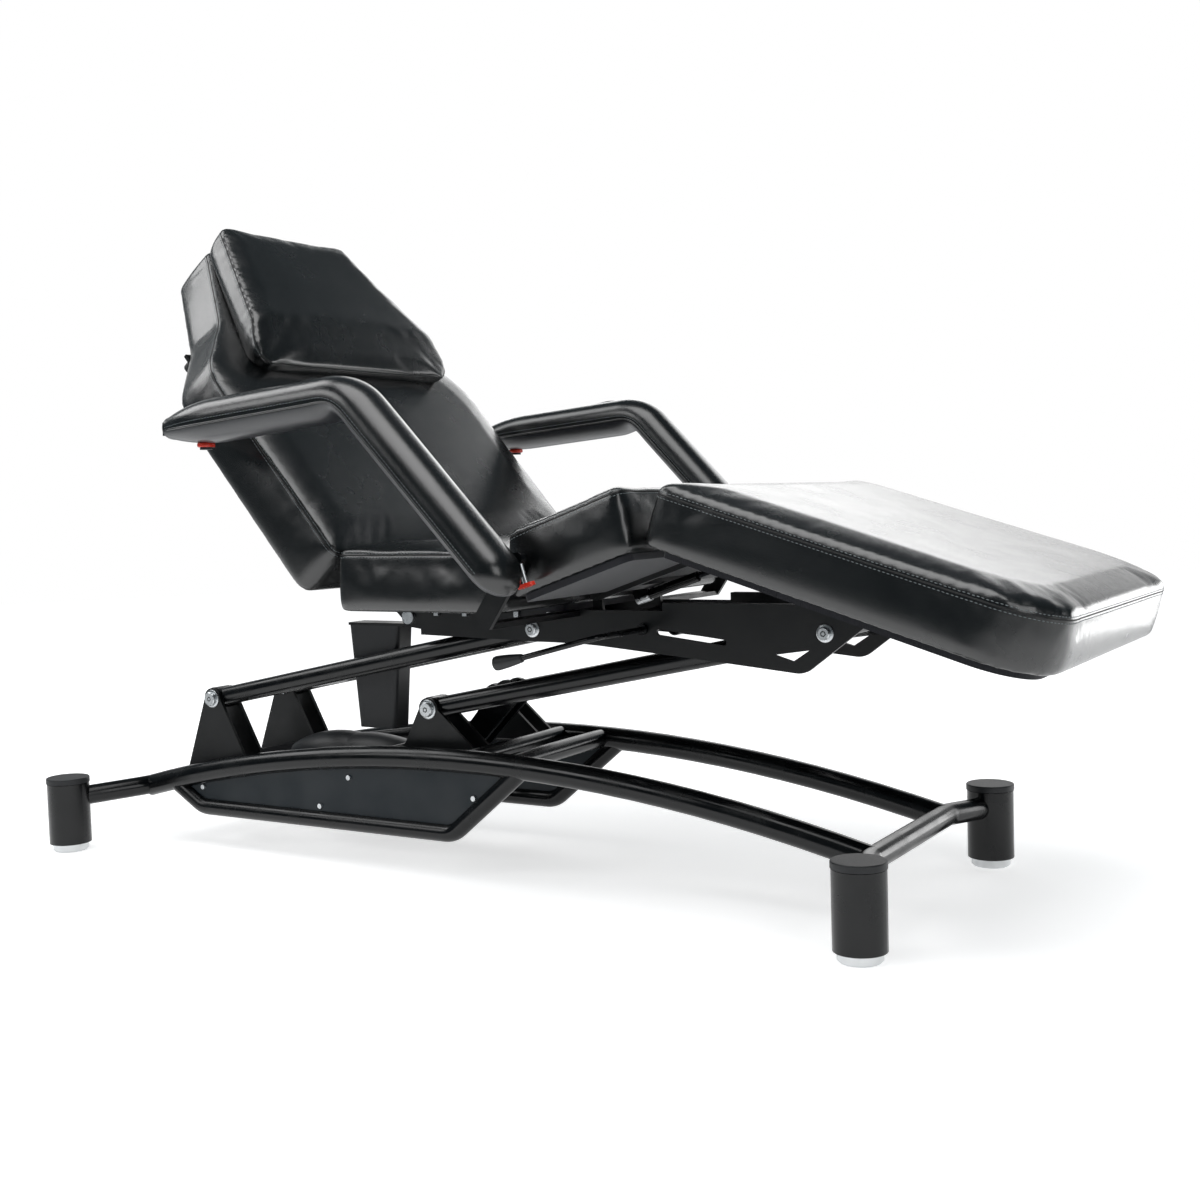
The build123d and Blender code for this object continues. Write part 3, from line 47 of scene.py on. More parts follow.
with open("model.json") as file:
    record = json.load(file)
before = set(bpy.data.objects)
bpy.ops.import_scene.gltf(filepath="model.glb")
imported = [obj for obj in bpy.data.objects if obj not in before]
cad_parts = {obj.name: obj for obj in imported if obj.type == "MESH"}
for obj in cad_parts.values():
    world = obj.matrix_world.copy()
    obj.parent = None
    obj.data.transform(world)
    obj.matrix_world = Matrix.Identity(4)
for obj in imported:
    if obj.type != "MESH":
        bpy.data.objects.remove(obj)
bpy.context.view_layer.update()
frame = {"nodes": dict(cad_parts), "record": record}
MM = 0.001
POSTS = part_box("foot_posts")
MID_X = (POSTS[0].x + POSTS[1].x) / 2 / MM

# How the sections lie at rest: tilts in degrees up from +X, hinges as (x, z). The back leans towards
# the head end, so its tilt is past a right angle.
BACK_TILT, THIGH_TILT, LEG_TILT = 130.0, 18.5, -17.7
BACK_FOOT = np.array([MID_X - 5.0, 500.0])
THIGH_HINGE = np.array([MID_X + 272.0, 476.0])
KNEE = np.array([MID_X + 494.538, 552.464])


def linear(hex_colour):
    """An sRGB hex colour as linear red, green, blue and an alpha of one."""
    srgb = np.array([int(hex_colour[i:i + 2], 16) for i in (0, 2, 4)]) / 255
    lin = np.where(srgb <= 0.04045, srgb / 12.92, ((srgb + 0.055) / 1.055) ** 2.4)
    return (*map(float, lin), 1.0)


def length_choice(name, description, default, low, high):
    """A size that a user may change, in metres between two limits."""
    return bpy.props.FloatProperty(name=name, description=description, default=default, min=low,
                                   max=high, unit="LENGTH", subtype="DISTANCE")


def colour_choice(name, description, hex_colour):
    """A colour that a user may change."""
    return bpy.props.FloatVectorProperty(name=name, description=description, subtype="COLOR", size=4,
                                         default=linear(hex_colour))


class ChairSizes(bpy.types.PropertyGroup):
    """Sizes of the soft and sewn pieces."""
    cushion_swell: length_choice(
        "Swell", "How far the foam pushes the leather out", 0.004, 0.0, 0.012)
    leather_cell: length_choice(
        "Mesh cell", "Cell size of the simulated leather", 0.006, 0.004, 0.012)
    stitch_pitch: length_choice(
        "Stitch pitch", "Distance from one stitch to the next", 0.0062, 0.003, 0.012)
    stitch_width: length_choice(
        "Thread width", "Thickness of the thread", 0.0011, 0.0005, 0.002)
    seam_gap: length_choice(
        "Seam rows", "Distance from the fold to each row of stitches", 0.0045, 0.003, 0.015)


class ChairColours(bpy.types.PropertyGroup):
    """Colours that a user would change."""
    leather: colour_choice("Leather", "Colour of the covers", "07090a")
    thread: colour_choice("Thread", "Colour of the stitching", "737a7c")
    paint: colour_choice("Tube paint", "Colour of the tubes", "07090b")
    panel: colour_choice("Panel paint", "Colour of the side panels", "0e1a21")
    pull: colour_choice("Release", "Colour of the release tabs", "d8331f")


# Materials

def node(tree, kind, links=(), **settings):
    """Add one shader node: settings by socket name or attribute, links as (input, source socket)."""
    made = tree.nodes.new(kind)
    for name, value in settings.items():
        socket = made.inputs.get(name.replace("_", " ")) if not hasattr(made, name) else None
        if socket is None:
            setattr(made, name, value)
        else:
            socket.default_value = value
    for name, source in links:
        tree.links.new(made.inputs[name], source)
    return made


def finish_of(name, colour, roughness, metallic=0.0):
    """A material with its shader, its node tree and the position socket that patterns follow."""
    material = bpy.data.materials.new(name)
    material.use_nodes = True
    tree = material.node_tree
    shader = tree.nodes["Principled BSDF"]
    for key, value in {"Base Color": colour, "Roughness": roughness, "Metallic": metallic}.items():
        shader.inputs[key].default_value = value
    place = tree.nodes.new("ShaderNodeTexCoord").outputs["Object"]
    return material, tree, shader, place


def ramp(tree, source, low, high, at=(0.35, 0.65)):
    """Map a pattern's share between two limits to low..high."""
    made = node(tree, "ShaderNodeMapRange", [("Value", source)])
    for index, value in enumerate((*at, low, high), start=1):
        made.inputs[index].default_value = value
    return made.outputs[0]


def leather_material(name, colour, roughness, grain_mm=1.8, wrinkle=0.07):
    """Embossed synthetic leather: cells of a pebble grain 1.6 or 1.8 mm across, drawn coarser than
    the real 1 mm so that it shows, slow creases 35 mm apart, and polish that comes and goes."""
    material, tree, shader, place = finish_of(name, colour, roughness)
    shader.inputs["Specular IOR Level"].default_value = 0.7
    shader.inputs["Coat Weight"].default_value = 0.3
    shader.inputs["Coat Roughness"].default_value = 0.14
    grain = node(tree, "ShaderNodeTexVoronoi", [("Vector", place)], feature="DISTANCE_TO_EDGE",
                 Scale=1 / (grain_mm * MM))
    fine = node(tree, "ShaderNodeTexNoise", [("Vector", place)], Scale=1 / (0.9 * MM), Detail=3.0)
    soft = node(tree, "ShaderNodeTexNoise", [("Vector", place)], Scale=1 / (35 * MM), Detail=3.0,
                Roughness=0.55)
    cloud = node(tree, "ShaderNodeTexNoise", [("Vector", place)], Scale=1 / (90 * MM), Detail=4.0)
    pits = ramp(tree, grain.outputs["Distance"], 0.0, 1.0, (0.0, 0.22))
    bump = node(tree, "ShaderNodeBump", [("Height", soft.outputs["Fac"])], Strength=wrinkle,
                Distance=2.5 * MM)
    bump = node(tree, "ShaderNodeBump", [("Height", pits), ("Normal", bump.outputs[0])], Strength=0.16,
                Distance=0.35 * MM)
    bump = node(tree, "ShaderNodeBump", [("Height", fine.outputs["Fac"]), ("Normal", bump.outputs[0])],
                Strength=0.08, Distance=0.2 * MM)
    tree.links.new(shader.inputs["Normal"], bump.outputs[0])
    tree.links.new(shader.inputs["Roughness"],
                   ramp(tree, cloud.outputs["Fac"], roughness - 0.015, roughness + 0.03))
    worn = node(tree, "ShaderNodeMix", [("Factor", ramp(tree, cloud.outputs["Fac"], 0.0, 1.0))],
                data_type="RGBA")
    worn.inputs[6].default_value = colour
    worn.inputs[7].default_value = (*[min(1.0, 1.3 * c + 0.0004) for c in colour[:3]], 1.0)
    tree.links.new(shader.inputs["Base Color"], worn.outputs[2])
    return material


def paint_material(name, colour, roughness, peel_mm=4.0):
    """Powder coat baked on steel: a slight orange peel 4 to 6 mm across, with dust that dulls it."""
    material, tree, shader, place = finish_of(name, colour, roughness)
    shader.inputs["Specular IOR Level"].default_value = 0.36
    peel = node(tree, "ShaderNodeTexNoise", [("Vector", place)], Scale=1 / (peel_mm * MM), Detail=2.0)
    dust = node(tree, "ShaderNodeTexNoise", [("Vector", place)], Scale=1 / (60 * MM), Detail=5.0)
    bump = node(tree, "ShaderNodeBump", [("Height", peel.outputs["Fac"])], Strength=0.25,
                Distance=0.06 * MM)
    tree.links.new(shader.inputs["Normal"], bump.outputs[0])
    tree.links.new(shader.inputs["Roughness"],
                   ramp(tree, dust.outputs["Fac"], roughness - 0.05, roughness + 0.1))
    return material


def metal_material(name, colour, roughness, brushed_mm=0.0):
    """Bare or plated steel and aluminium: smudges 8 mm across, and where brushed, scratches as
    wide as brushed_mm that run along Z."""
    material, tree, shader, place = finish_of(name, colour, roughness, 1.0)
    smudge = node(tree, "ShaderNodeTexNoise", [("Vector", place)], Scale=1 / (8 * MM), Detail=4.0)
    tree.links.new(shader.inputs["Roughness"],
                   ramp(tree, smudge.outputs["Fac"], roughness, roughness + 0.12))
    if brushed_mm:
        turned = node(tree, "ShaderNodeMapping", [("Vector", place)])
        turned.inputs["Scale"].default_value = (1.0, 1.0, 0.04)
        lines = node(tree, "ShaderNodeTexNoise", [("Vector", turned.outputs[0])],
                     Scale=1 / (brushed_mm * MM))
        bump = node(tree, "ShaderNodeBump", [("Height", lines.outputs["Fac"])], Strength=0.2,
                    Distance=0.1 * MM)
        tree.links.new(shader.inputs["Normal"], bump.outputs[0])
    return material


def plastic_material(name, colour, roughness, grit_mm=0.8):
    """Moulded plastic with the fine spark texture of its tool, 0.5 to 1.2 mm across."""
    material, tree, shader, place = finish_of(name, colour, roughness)
    grit = node(tree, "ShaderNodeTexNoise", [("Vector", place)], Scale=1 / (grit_mm * MM), Detail=3.0)
    bump = node(tree, "ShaderNodeBump", [("Height", grit.outputs["Fac"])], Strength=0.3,
                Distance=0.12 * MM)
    tree.links.new(shader.inputs["Normal"], bump.outputs[0])
    tree.links.new(shader.inputs["Roughness"],
                   ramp(tree, grit.outputs["Fac"], roughness - 0.05, roughness + 0.08))
    return material


def woven_material(name, colour, thread_mm=1.6):
    """Woven lining cloth stapled under the boards: two crossed waves, one thread every 1.6 mm."""
    material, tree, shader, place = finish_of(name, colour, 0.9)
    shader.inputs["Sheen Weight"].default_value = 0.25
    waves = []
    for axis in ("X", "Y"):
        waves.append(node(tree, "ShaderNodeTexWave", [("Vector", place)], wave_type="BANDS",
                          bands_direction=axis, Scale=1 / (6.28 * thread_mm * MM), Distortion=0.4))
    both = node(tree, "ShaderNodeMath", [(0, waves[0].outputs["Fac"]), (1, waves[1].outputs["Fac"])],
                operation="MULTIPLY")
    bump = node(tree, "ShaderNodeBump", [("Height", both.outputs[0])], Strength=0.5, Distance=0.4 * MM)
    tree.links.new(shader.inputs["Normal"], bump.outputs[0])
    return material


MATERIALS = {}
SLOT_FINISH = {
    "frame_paint": "gloss powder coat", "plate_paint": "satin powder coat",
    "panel_paint": "panel powder coat", "upholstery": "embossed synthetic leather",
    "board_black": "woven lining", "bright_steel": "zinc plated steel",
    "chrome_rod": "polished chrome", "glide_silver": "satin aluminium",
    "cap_black": "moulded nylon", "box_black": "moulded housing", "red_plastic": "red acetal",
}
# Nodes that look different from the rest of their slot
NODE_FINISH = {"knee_spring_rod": "black nitride", "back_spring_rod": "black nitride",
               "armrest_pull_near": "moulded nylon", "armrest_pull_far": "moulded nylon"}
# Where two nodes change to bare zinc: above this height, and nearer the thigh's hinge than this
CATCH_LEVEL, FERRULE_END = 516.5, 39.0


def make_materials(colours):
    """Every finish of the chair, by its name."""
    leather, paint = tuple(colours.leather), tuple(colours.paint)
    MATERIALS.update({
        # Vinyl leather over foam: black, with broad soft highlights that the grain breaks up
        "embossed synthetic leather": leather_material("embossed_synthetic_leather", leather, 0.25),
        # The same, pulled tight round the pads: smoother and brighter along the edges
        "armrest leather": leather_material("stretched_armrest_leather", leather, 0.22, 1.6, 0.1),
        # The pads' undersides: a duller, paler sheet
        "armrest lining": leather_material("matt_armrest_lining", linear("1b1d22"), 0.42, 1.6, 0.08),
        # Tubes: black with sharp bright lines along them
        "gloss powder coat": paint_material("gloss_powder_coat", paint, 0.2),
        # Plates: the same black, its light spread wide
        "satin powder coat": paint_material("satin_powder_coat", linear("07090b"), 0.36),
        # Side panels: a blue black, the dullest paint, with a coarser peel
        "panel powder coat": paint_material("panel_powder_coat", tuple(colours.panel), 0.42, 6.0),
        # Boards seen from below: black cloth with no shine
        "woven lining": woven_material("woven_lining", linear("1b1c22")),
        # Bolts, nuts and washers: pale grey with soft reflections
        "zinc plated steel": metal_material("zinc_plated_steel", linear("c3c6c8"), 0.24),
        # The drive's rod: a clear mirror
        "polished chrome": metal_material("polished_chrome", linear("d9dcdf"), 0.08),
        # The struts' rods: a dark mirror
        "black nitride": metal_material("black_nitride_rod", linear("26282b"), 0.2),
        # The feet's glides: pale, with fine turned lines
        "satin aluminium": metal_material("satin_aluminium", linear("d7d9da"), 0.35, 0.6),
        # Caps, knobs and the lever's grip: charcoal, nearly matt
        "moulded nylon": plastic_material("moulded_nylon", linear("15171a"), 0.5),
        # Control box and drive housing: charcoal, a little shinier and coarser
        "moulded housing": plastic_material("moulded_housing", linear("121418"), 0.42, 1.2),
        # The armrests' release rings: bright red with a small clear highlight
        "red acetal": plastic_material("red_acetal", tuple(colours.pull), 0.3),
        # Stitching: grey, dull, a dotted line in the light
        "polyester thread": plastic_material("polyester_thread", tuple(colours.thread), 0.55, 0.5),
        # The folded edge between two rows of stitches: the darkest line on a cover
        "folded seam": plastic_material("folded_seam", linear("050607"), 0.6, 0.5),
        # The hexagon in each bolt head: a flat dark hexagon of painted shade, standing for the socket's
        # shadowed recess
        "socket shade": plastic_material("painted_socket_shade", linear("1c1e20"), 0.5, 0.5),
    })


# Meshes and lines

def mesh_piece(name, vertices, faces, material, smooth=True):
    """One mesh object at the origin from arrays of vertices and lists of faces."""
    mesh = bpy.data.meshes.new(name)
    mesh.from_pydata(np.asarray(vertices).tolist(), [], faces)
    mesh.update()
    if smooth:
        mesh.polygons.foreach_set("use_smooth", np.ones(len(mesh.polygons), bool))
    made = bpy.data.objects.new(name, mesh)
    bpy.context.scene.collection.objects.link(made)
    if material:
        mesh.materials.append(MATERIALS[material])
    return made


def grid_piece(name, points, material, cap_ends=False):
    """A mesh on a grid of (rings, points of a ring, 3), its rings closed."""
    rows, columns = points.shape[:2]
    index = np.arange(rows * columns).reshape(rows, columns)
    index = np.concatenate([index, index[:, :1]], axis=1)
    faces = np.stack([index[:-1, :-1], index[:-1, 1:], index[1:, 1:], index[1:, :-1]], axis=-1)
    faces = faces.reshape(-1, 4).tolist()
    if cap_ends:
        faces += [index[0, :columns][::-1].tolist(), index[-1, :columns].tolist()]
    return mesh_piece(name, points.reshape(-1, 3), faces, material)


def vectors_of(items, name="co"):
    """A vector of every vertex, normal or face of a mesh, as rows of an array."""
    out = np.zeros(len(items) * 3)
    items.foreach_get(name, out)
    return out.reshape(-1, 3)


def baked(obj):
    """Replace the object's mesh by the one its modifiers make."""
    bpy.context.view_layer.update()
    mesh = bpy.data.meshes.new_from_object(obj.evaluated_get(bpy.context.evaluated_depsgraph_get()))
    obj.modifiers.clear()
    obj.data = mesh
    return obj


def subdivided(obj):
    """Give a piece one level of subdivision, the same in a render."""
    fine = obj.modifiers.new("fine", "SUBSURF")
    fine.levels = fine.render_levels = 1
    return obj


def outward(piece):
    """Turn a closed mesh's faces to point outwards, by the sign of its volume."""
    mesh = piece.data
    mesh.calc_loop_triangles()
    tri = np.zeros(len(mesh.loop_triangles) * 3, np.int32)
    mesh.loop_triangles.foreach_get("vertices", tri)
    co = vectors_of(mesh.vertices)[tri.reshape(-1, 3)]
    if np.sum(np.cross(co[:, 0], co[:, 1]) * co[:, 2]) < 0:
        mesh.flip_normals()
    return piece


def joined(name, pieces):
    """One object from several, named for what they make together."""
    vertices, faces, start = [], [], 0
    for piece in pieces:
        mesh = piece.data
        vertices.append(vectors_of(mesh.vertices))
        faces += [[start + v for v in f.vertices] for f in mesh.polygons]
        start += len(mesh.vertices)
    material = pieces[0].data.materials[0]
    made = mesh_piece(name, np.concatenate(vertices), faces, None)
    made.data.materials.append(material)
    for piece in pieces:
        bpy.data.objects.remove(piece)
    return made


def unit(rows):
    """Each row of an array drawn out or in to a length of one."""
    return rows / np.maximum(np.linalg.norm(rows, axis=1), 1e-9)[:, None]


def distances(line):
    """How far along a line each of its points lies."""
    return np.concatenate([[0], np.cumsum(np.linalg.norm(np.diff(line, axis=0), axis=1))])


def sampled(line, at):
    """The points of a line at given distances along it."""
    length = distances(line)
    return np.stack([np.interp(at, length, column) for column in line.T], 1)


def even(path, pitch, closed=True):
    """Points one pitch apart along a path, by its length."""
    line = np.concatenate([path, path[:1]]) if closed else path
    length = distances(line)[-1]
    return sampled(line, np.linspace(0, length, max(8, int(length / pitch)), endpoint=not closed))


def headings(path, closed):
    """The way a path runs at each point: from the point before it to the one after."""
    ahead = np.roll(path, -1, 0) - np.roll(path, 1, 0)
    if not closed:
        ahead[0], ahead[-1] = path[1] - path[0], path[-1] - path[-2]
    return ahead


def rounded(corners, inset, count):
    """A polygon drawn in by inset, its corners rounded by tangent arcs, as count even points.

    Each corner is (x, y, radius). Edges move in along their normals and are met again; an arc
    replaces each corner between its two tangent points; the line is then sampled by its length."""
    corners = np.array(corners, float)
    p, r = corners[:, :2], np.maximum(corners[:, 2] - inset, 0.25 * corners[:, 2])
    edge = unit(np.roll(p, -1, 0) - p)
    normal = np.stack([-edge[:, 1], edge[:, 0]], 1)
    if np.sum(p[:, 0] * np.roll(p[:, 1], -1) - np.roll(p[:, 0], -1) * p[:, 1]) < 0:
        normal = -normal
    before = np.roll(normal, 1, 0)
    p = p + inset * (normal + before) / (1 + np.sum(normal * before, 1))[:, None]
    into, out = np.roll(edge, 1, 0), edge
    turn = np.arctan2(into[:, 0] * out[:, 1] - into[:, 1] * out[:, 0], np.sum(into * out, 1))
    reach = r * np.abs(np.tan(turn / 2))
    share = np.linspace(0, 1, 17)[None, :, None]
    side = np.sign(turn)[:, None, None]
    start = (p - into * reach[:, None])[:, None, :]
    left = np.stack([-into[:, 1], into[:, 0]], 1)[:, None, :]
    angle = np.abs(turn)[:, None, None] * share
    bow = np.sin(angle) * into[:, None, :] + side * (1 - np.cos(angle)) * left
    line = (start + r[:, None, None] * bow).reshape(-1, 2)
    line = np.concatenate([line, line[:1]])
    return sampled(line, np.linspace(0, distances(line)[-1], count, endpoint=False))


# The cushions' covers

# A cover's wall as (share of its height, how far in): tucked under, then half a millimetre proud
WALL = ((0.0, 4.0), (0.04, 1.5), (0.15, 0.3), (0.5, -0.5), (0.85, 0.0), (1.0, 0.3))
# Its face climbs this much more past the rolled edge: (distance from the roll, share climbed)
DOME, CLIMB = 2.0, ((6.0, 0.5), (16.0, 0.95))
# The rings over the flat of the face start this far in from the roll
FLAT_FROM = 22


class Form:
    """A cushion's plan, place and heights; rings run from the underside's middle to the crown's.

    corners are the plan, (along, across, corner radius), on a plane through origin at a tilt, rise
    over it. slants lean the plan's two ends out at the top, seam is the seam's share of the
    thickness, roll the radius of the rolled edge, tuck how far the underside draws in, and dip
    lowers the heights over part of the plan."""

    def __init__(self, name, corners, origin, tilt, rise, thick, slants=(0, 0), seam=0.9, roll=9.0,
                 tuck=0.0, dip=None):
        self.name, self.corners, self.thick, self.slants = name, corners, thick, slants
        self.seam, self.roll, self.tuck, self.dip = seam, roll, tuck, dip
        a = radians(tilt)
        self.along, self.up = np.array([cos(a), 0, sin(a)]), np.array([-sin(a), 0, cos(a)])
        if tilt > 90:
            self.up = -self.up
        self.base = np.array([origin[0], 0, origin[1]]) + rise * self.up
        self.low = min(c[0] for c in corners)
        self.high = max(c[0] for c in corners)

    def slanted(self, flat, share):
        """Shift the two ends of the plan with the height, in proportion along its length."""
        along = (flat[:, 0] - self.low) / (self.high - self.low)
        shift = share * (self.slants[0] * (1 - along) + self.slants[1] * along)
        return flat + np.stack([shift, 0 * along], 1)

    def ring(self, share, inset, count=220, part=1.0):
        """One ring of the side or crown at a share of the thickness, drawn in by inset and then
        drawn towards its middle, to part of its size; in metres."""
        flat = self.slanted(rounded(self.corners, inset + self.tuck * (1 - share) ** 2, count), share)
        flat = flat.mean(0) + (flat - flat.mean(0)) * part
        height = np.full(len(flat), share * self.thick)
        if self.dip is not None:
            height = height * self.dip(flat, share)
        across = flat[:, 1:] * np.array([0, 1, 0])
        return (self.base + flat[:, :1] * self.along + across + height[:, None] * self.up) * MM

    def rings(self, shrink):
        """All rings, drawn in by shrink: nearly upright walls, a rolled edge as a quarter circle,
        then a face that climbs its last two millimetres over 16 mm."""
        edge = 1 - (self.roll + DOME) / self.thick
        made = [self.ring(0, WALL[0][1] + shrink, part=part) for part in (0.02, 0.5)]
        made += [self.ring(share * edge, inset + shrink) for share, inset in WALL]
        for step in (18, 36, 54, 72, 90):
            climbed = self.roll * sin(radians(step)) - (shrink if step == 90 else 0)
            inset = WALL[-1][1] + self.roll * (1 - cos(radians(step))) + shrink
            made.append(self.ring(edge + climbed / self.thick, inset))
        for run, climb in CLIMB:
            left = (1 - climb) * DOME + shrink
            made.append(self.ring(1 - left / self.thick, self.roll + run + shrink))
        top = 1 - shrink / self.thick
        for part in (1.0, 0.8, 0.6, 0.4, 0.2, 0.02):
            made.append(self.ring(top, self.roll + FLAT_FROM + shrink, part=part))
        return np.array(made)

    def level(self, points):
        """Height of points over the underside, as a share of the thickness."""
        return ((points - self.base * MM) @ self.up) / (self.thick * MM)


# How a cover is blown up: the pressure, for how many frames, how much of the simulated move is kept
# beside an even swell, and how wide a band the seam holds in
PRESSURE, FRAMES, SIMULATED, SEAM_HOLD = 4.0, 20, 0.35, 9
# A cover starts smaller by its swell, less this, which is what relaxing the mesh takes off it
RELAXED = 2.5


def upholster(form, body, cad_node, sizes, cap):
    """A cushion blown up by cloth pressure over its foam, then tied back at its seam and underside.

    No point moves further than cap. The seam's pull falls off as a bell curve above and below it,
    and nothing moves at the underside."""
    leather = SLOT_FINISH["upholstery"]
    cushion = grid_piece(form.name, form.rings(sizes.cushion_swell / MM - RELAXED), leather, cap_ends=True)
    remesh = cushion.modifiers.new("cells", "REMESH")
    remesh.mode, remesh.voxel_size, remesh.use_smooth_shade = "VOXEL", sizes.leather_cell, True
    baked(cushion)
    start = vectors_of(cushion.data.vertices)
    even_swell = vectors_of(cushion.data.vertex_normals, "vector") * sizes.cushion_swell
    level = form.level(start)
    loose = 1 - np.exp(-((level - form.seam) / (SEAM_HOLD / form.thick)) ** 2)
    held = cushion.vertex_groups.new(name="held")
    held.add(np.nonzero(level < 0.03)[0].tolist(), 1.0, "REPLACE")
    cloth = cushion.modifiers.new("cloth", "CLOTH")
    settings = cloth.settings
    settings.use_pressure, settings.uniform_pressure_force = True, PRESSURE
    settings.vertex_group_mass = "held"
    settings.effector_weights.gravity = 0.0
    settings.quality = 4
    cloth.collision_settings.use_collision = False
    cloth.point_cache.frame_start, cloth.point_cache.frame_end = 1, FRAMES
    for step in range(1, FRAMES + 1):
        bpy.context.scene.frame_set(step)
    baked(cushion)
    swollen = vectors_of(cushion.data.vertices)
    bpy.context.scene.frame_set(1)
    move = SIMULATED * (swollen - start) + (1 - SIMULATED) * even_swell
    far = np.linalg.norm(move, axis=1)[:, None]
    move *= np.minimum(1, cap / np.maximum(far, 1e-9))
    move *= (0.45 + 0.55 * loose)[:, None] * np.clip(level / 0.08, 0, 1)[:, None]
    cushion.data.vertices.foreach_set("co", (start + move).ravel())
    cushion.data.update()
    cushion.data.polygons.foreach_set("use_smooth", np.ones(len(cushion.data.polygons), bool))
    cushion.data.materials.clear()
    cushion.data.materials.append(MATERIALS[leather])
    relax = cushion.modifiers.new("relax", "SMOOTH")
    relax.factor, relax.iterations = 0.5, 4
    subdivided(baked(cushion))
    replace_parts(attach(cushion, body), cad_node)
    return cushion


def pressed(path, target, lift):
    """A closed path laid on a cushion by shrinkwrap, lifted off it by lift, with its normals: the
    way from each point to where a second wrap, 2 mm proud, puts it."""
    line = mesh_piece("path", path, [list(range(len(path)))], None)
    laid = []
    for mode, offset in (("ON_SURFACE", 0.0), ("ABOVE_SURFACE", 0.002)):
        wrap = line.modifiers.new("wrap", "SHRINKWRAP")
        wrap.target, wrap.wrap_method = target, "NEAREST_SURFACEPOINT"
        wrap.wrap_mode, wrap.offset = mode, offset
        laid.append(vectors_of(baked(line).data.vertices))
    bpy.data.objects.remove(line)
    normal = unit(laid[1] - laid[0])
    return laid[0] + normal * lift, normal


def stitches(name, path, normal, width, closed=True):
    """Sewn thread: one bead per pitch, a six-sided spindle along the path, sunk halfway.

    A bead is 0.66 of a pitch long. Its four rings sit at -1, -0.45, 0.45 and 1 of half that from
    its middle, and measure 0.3, 1, 1 and 0.3 of the thread's width."""
    ahead = headings(path, closed)
    pitch = np.linalg.norm(ahead, axis=1).mean() / 2
    ahead = unit(ahead)
    side = np.cross(normal, ahead)
    turn = np.arange(6) * pi / 3
    along = np.array([-1, -0.45, 0.45, 1]) * 0.66 * pitch / 2
    radius = np.array([0.3, 1, 1, 0.3]) * width / 2
    spoke = (np.cos(turn)[None, None, :, None] * side[:, None, None, :]
             + np.sin(turn)[None, None, :, None] * normal[:, None, None, :])
    beads = (path[:, None, None, :] + along[None, :, None, None] * ahead[:, None, None, :]
             + radius[None, :, None, None] * spoke)
    index = np.arange(len(path) * 24).reshape(-1, 4, 6)
    turned = np.roll(index, -1, 2)
    faces = np.stack([index[:, :-1], turned[:, :-1], turned[:, 1:], index[:, 1:]], -1)
    faces = faces.reshape(-1, 4).tolist() + index[:, 0, ::-1].tolist() + index[:, -1].tolist()
    return mesh_piece(name, beads.reshape(-1, 3), faces, "polyester thread")


def tube(name, path, normal, width, height, material, closed=True):
    """A cord with an oval, eight-sided section carried along a path: width across it, height
    along the normal."""
    side = np.cross(unit(headings(path, closed)), normal)
    turn = np.linspace(0, 2 * pi, 8, endpoint=False)
    rings = (path[:, None] + np.cos(turn)[None, :, None] * side[:, None] * width / 2
             + np.sin(turn)[None, :, None] * normal[:, None] * height / 2)
    if not closed:
        return grid_piece(name, rings, material, cap_ends=True)
    made = grid_piece(name, np.concatenate([rings, rings[:1]]), material)
    weld = made.modifiers.new("join", "WELD")
    weld.merge_threshold = 1e-5
    return baked(made)


def sew(form, cushion, body, sizes, rows):
    """The folded seam round a cushion, and a row of stitches above it, below it or both."""
    on, normal = pressed(even(form.ring(form.seam, 1.0, 400), 0.004), cushion, 0.0)
    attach(tube(f"{form.name}_seam", on, normal, 0.0022, 0.0016, "folded seam"), body)
    threads = []
    for row in rows:
        level = form.seam + row * sizes.seam_gap / MM / form.thick
        on, normal = pressed(even(form.ring(level, 1.0, 400), sizes.stitch_pitch), cushion, 0.0002)
        threads.append(stitches(f"{form.name}_row", on, normal, sizes.stitch_width))
    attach(joined(f"{form.name}_stitching", threads), body)


def plan(s_from, s_to, rear_r, front_r, half=355.0):
    """Corners of a four-cornered plan."""
    return [(s_from, -half, rear_r), (s_to, -half, front_r), (s_to, half, front_r),
            (s_from, half, rear_r)]


def mirrored(side):
    """Corners of a plan that is the same on both sides, from its +Y half."""
    return [(x, -y, r) for x, y, r in side] + [(x, y, r) for x, y, r in side[::-1]]


def neck_dip(flat, share):
    """The pillow's end towards the seat slopes down to less than half its height over 82 mm."""
    return 1 - 0.55 * share * np.clip((545 - flat[:, 0]) / 82, 0, 1)


FORMS = {
    "seat": Form("seat_cover", plan(-56, 262, 16, 16), (MID_X, 464.0), 0.0, 0.0, 100.0),
    "back": Form("back_cover", mirrored([(71, 359, 22), (474, 359, 120), (600, 249, 170), (789, 152, 22)]),
                 BACK_FOOT, BACK_TILT, -99.0, 103.0, seam=0.92),
    "thigh": Form("thigh_cover", plan(4, 225, 16, 16), THIGH_HINGE, THIGH_TILT, 8, 97.0, (31, 14)),
    "leg": Form("leg_cover", plan(1.0, 578.5, 14, 96), KNEE, LEG_TILT, 12.9, 93.0, seam=0.82),
    "pillow": Form("headrest_cover", mirrored([(460, 280, 36), (786, 167, 38)]),
                   BACK_FOOT, BACK_TILT, 3.0, 63.0, seam=0.84, roll=7.0, tuck=10.0, dip=neck_dip),
}
# Each cover's form, body, solid, furthest move in metres and rows of stitches: below and above the fold
SEWN = (("seat", "seat", "seat_cushion", 0.012, (-1, 1)),
        ("back", "backrest", "back_cushion", 0.012, (-1, 1)),
        ("thigh", "thigh_section", "thigh_cushion", 0.012, (-1, 1)),
        ("leg", "leg_section", "leg_cushion", 0.012, (-1, 1)),
        ("pillow", "headrest", "headrest_pillow", 0.007, (-1,)))


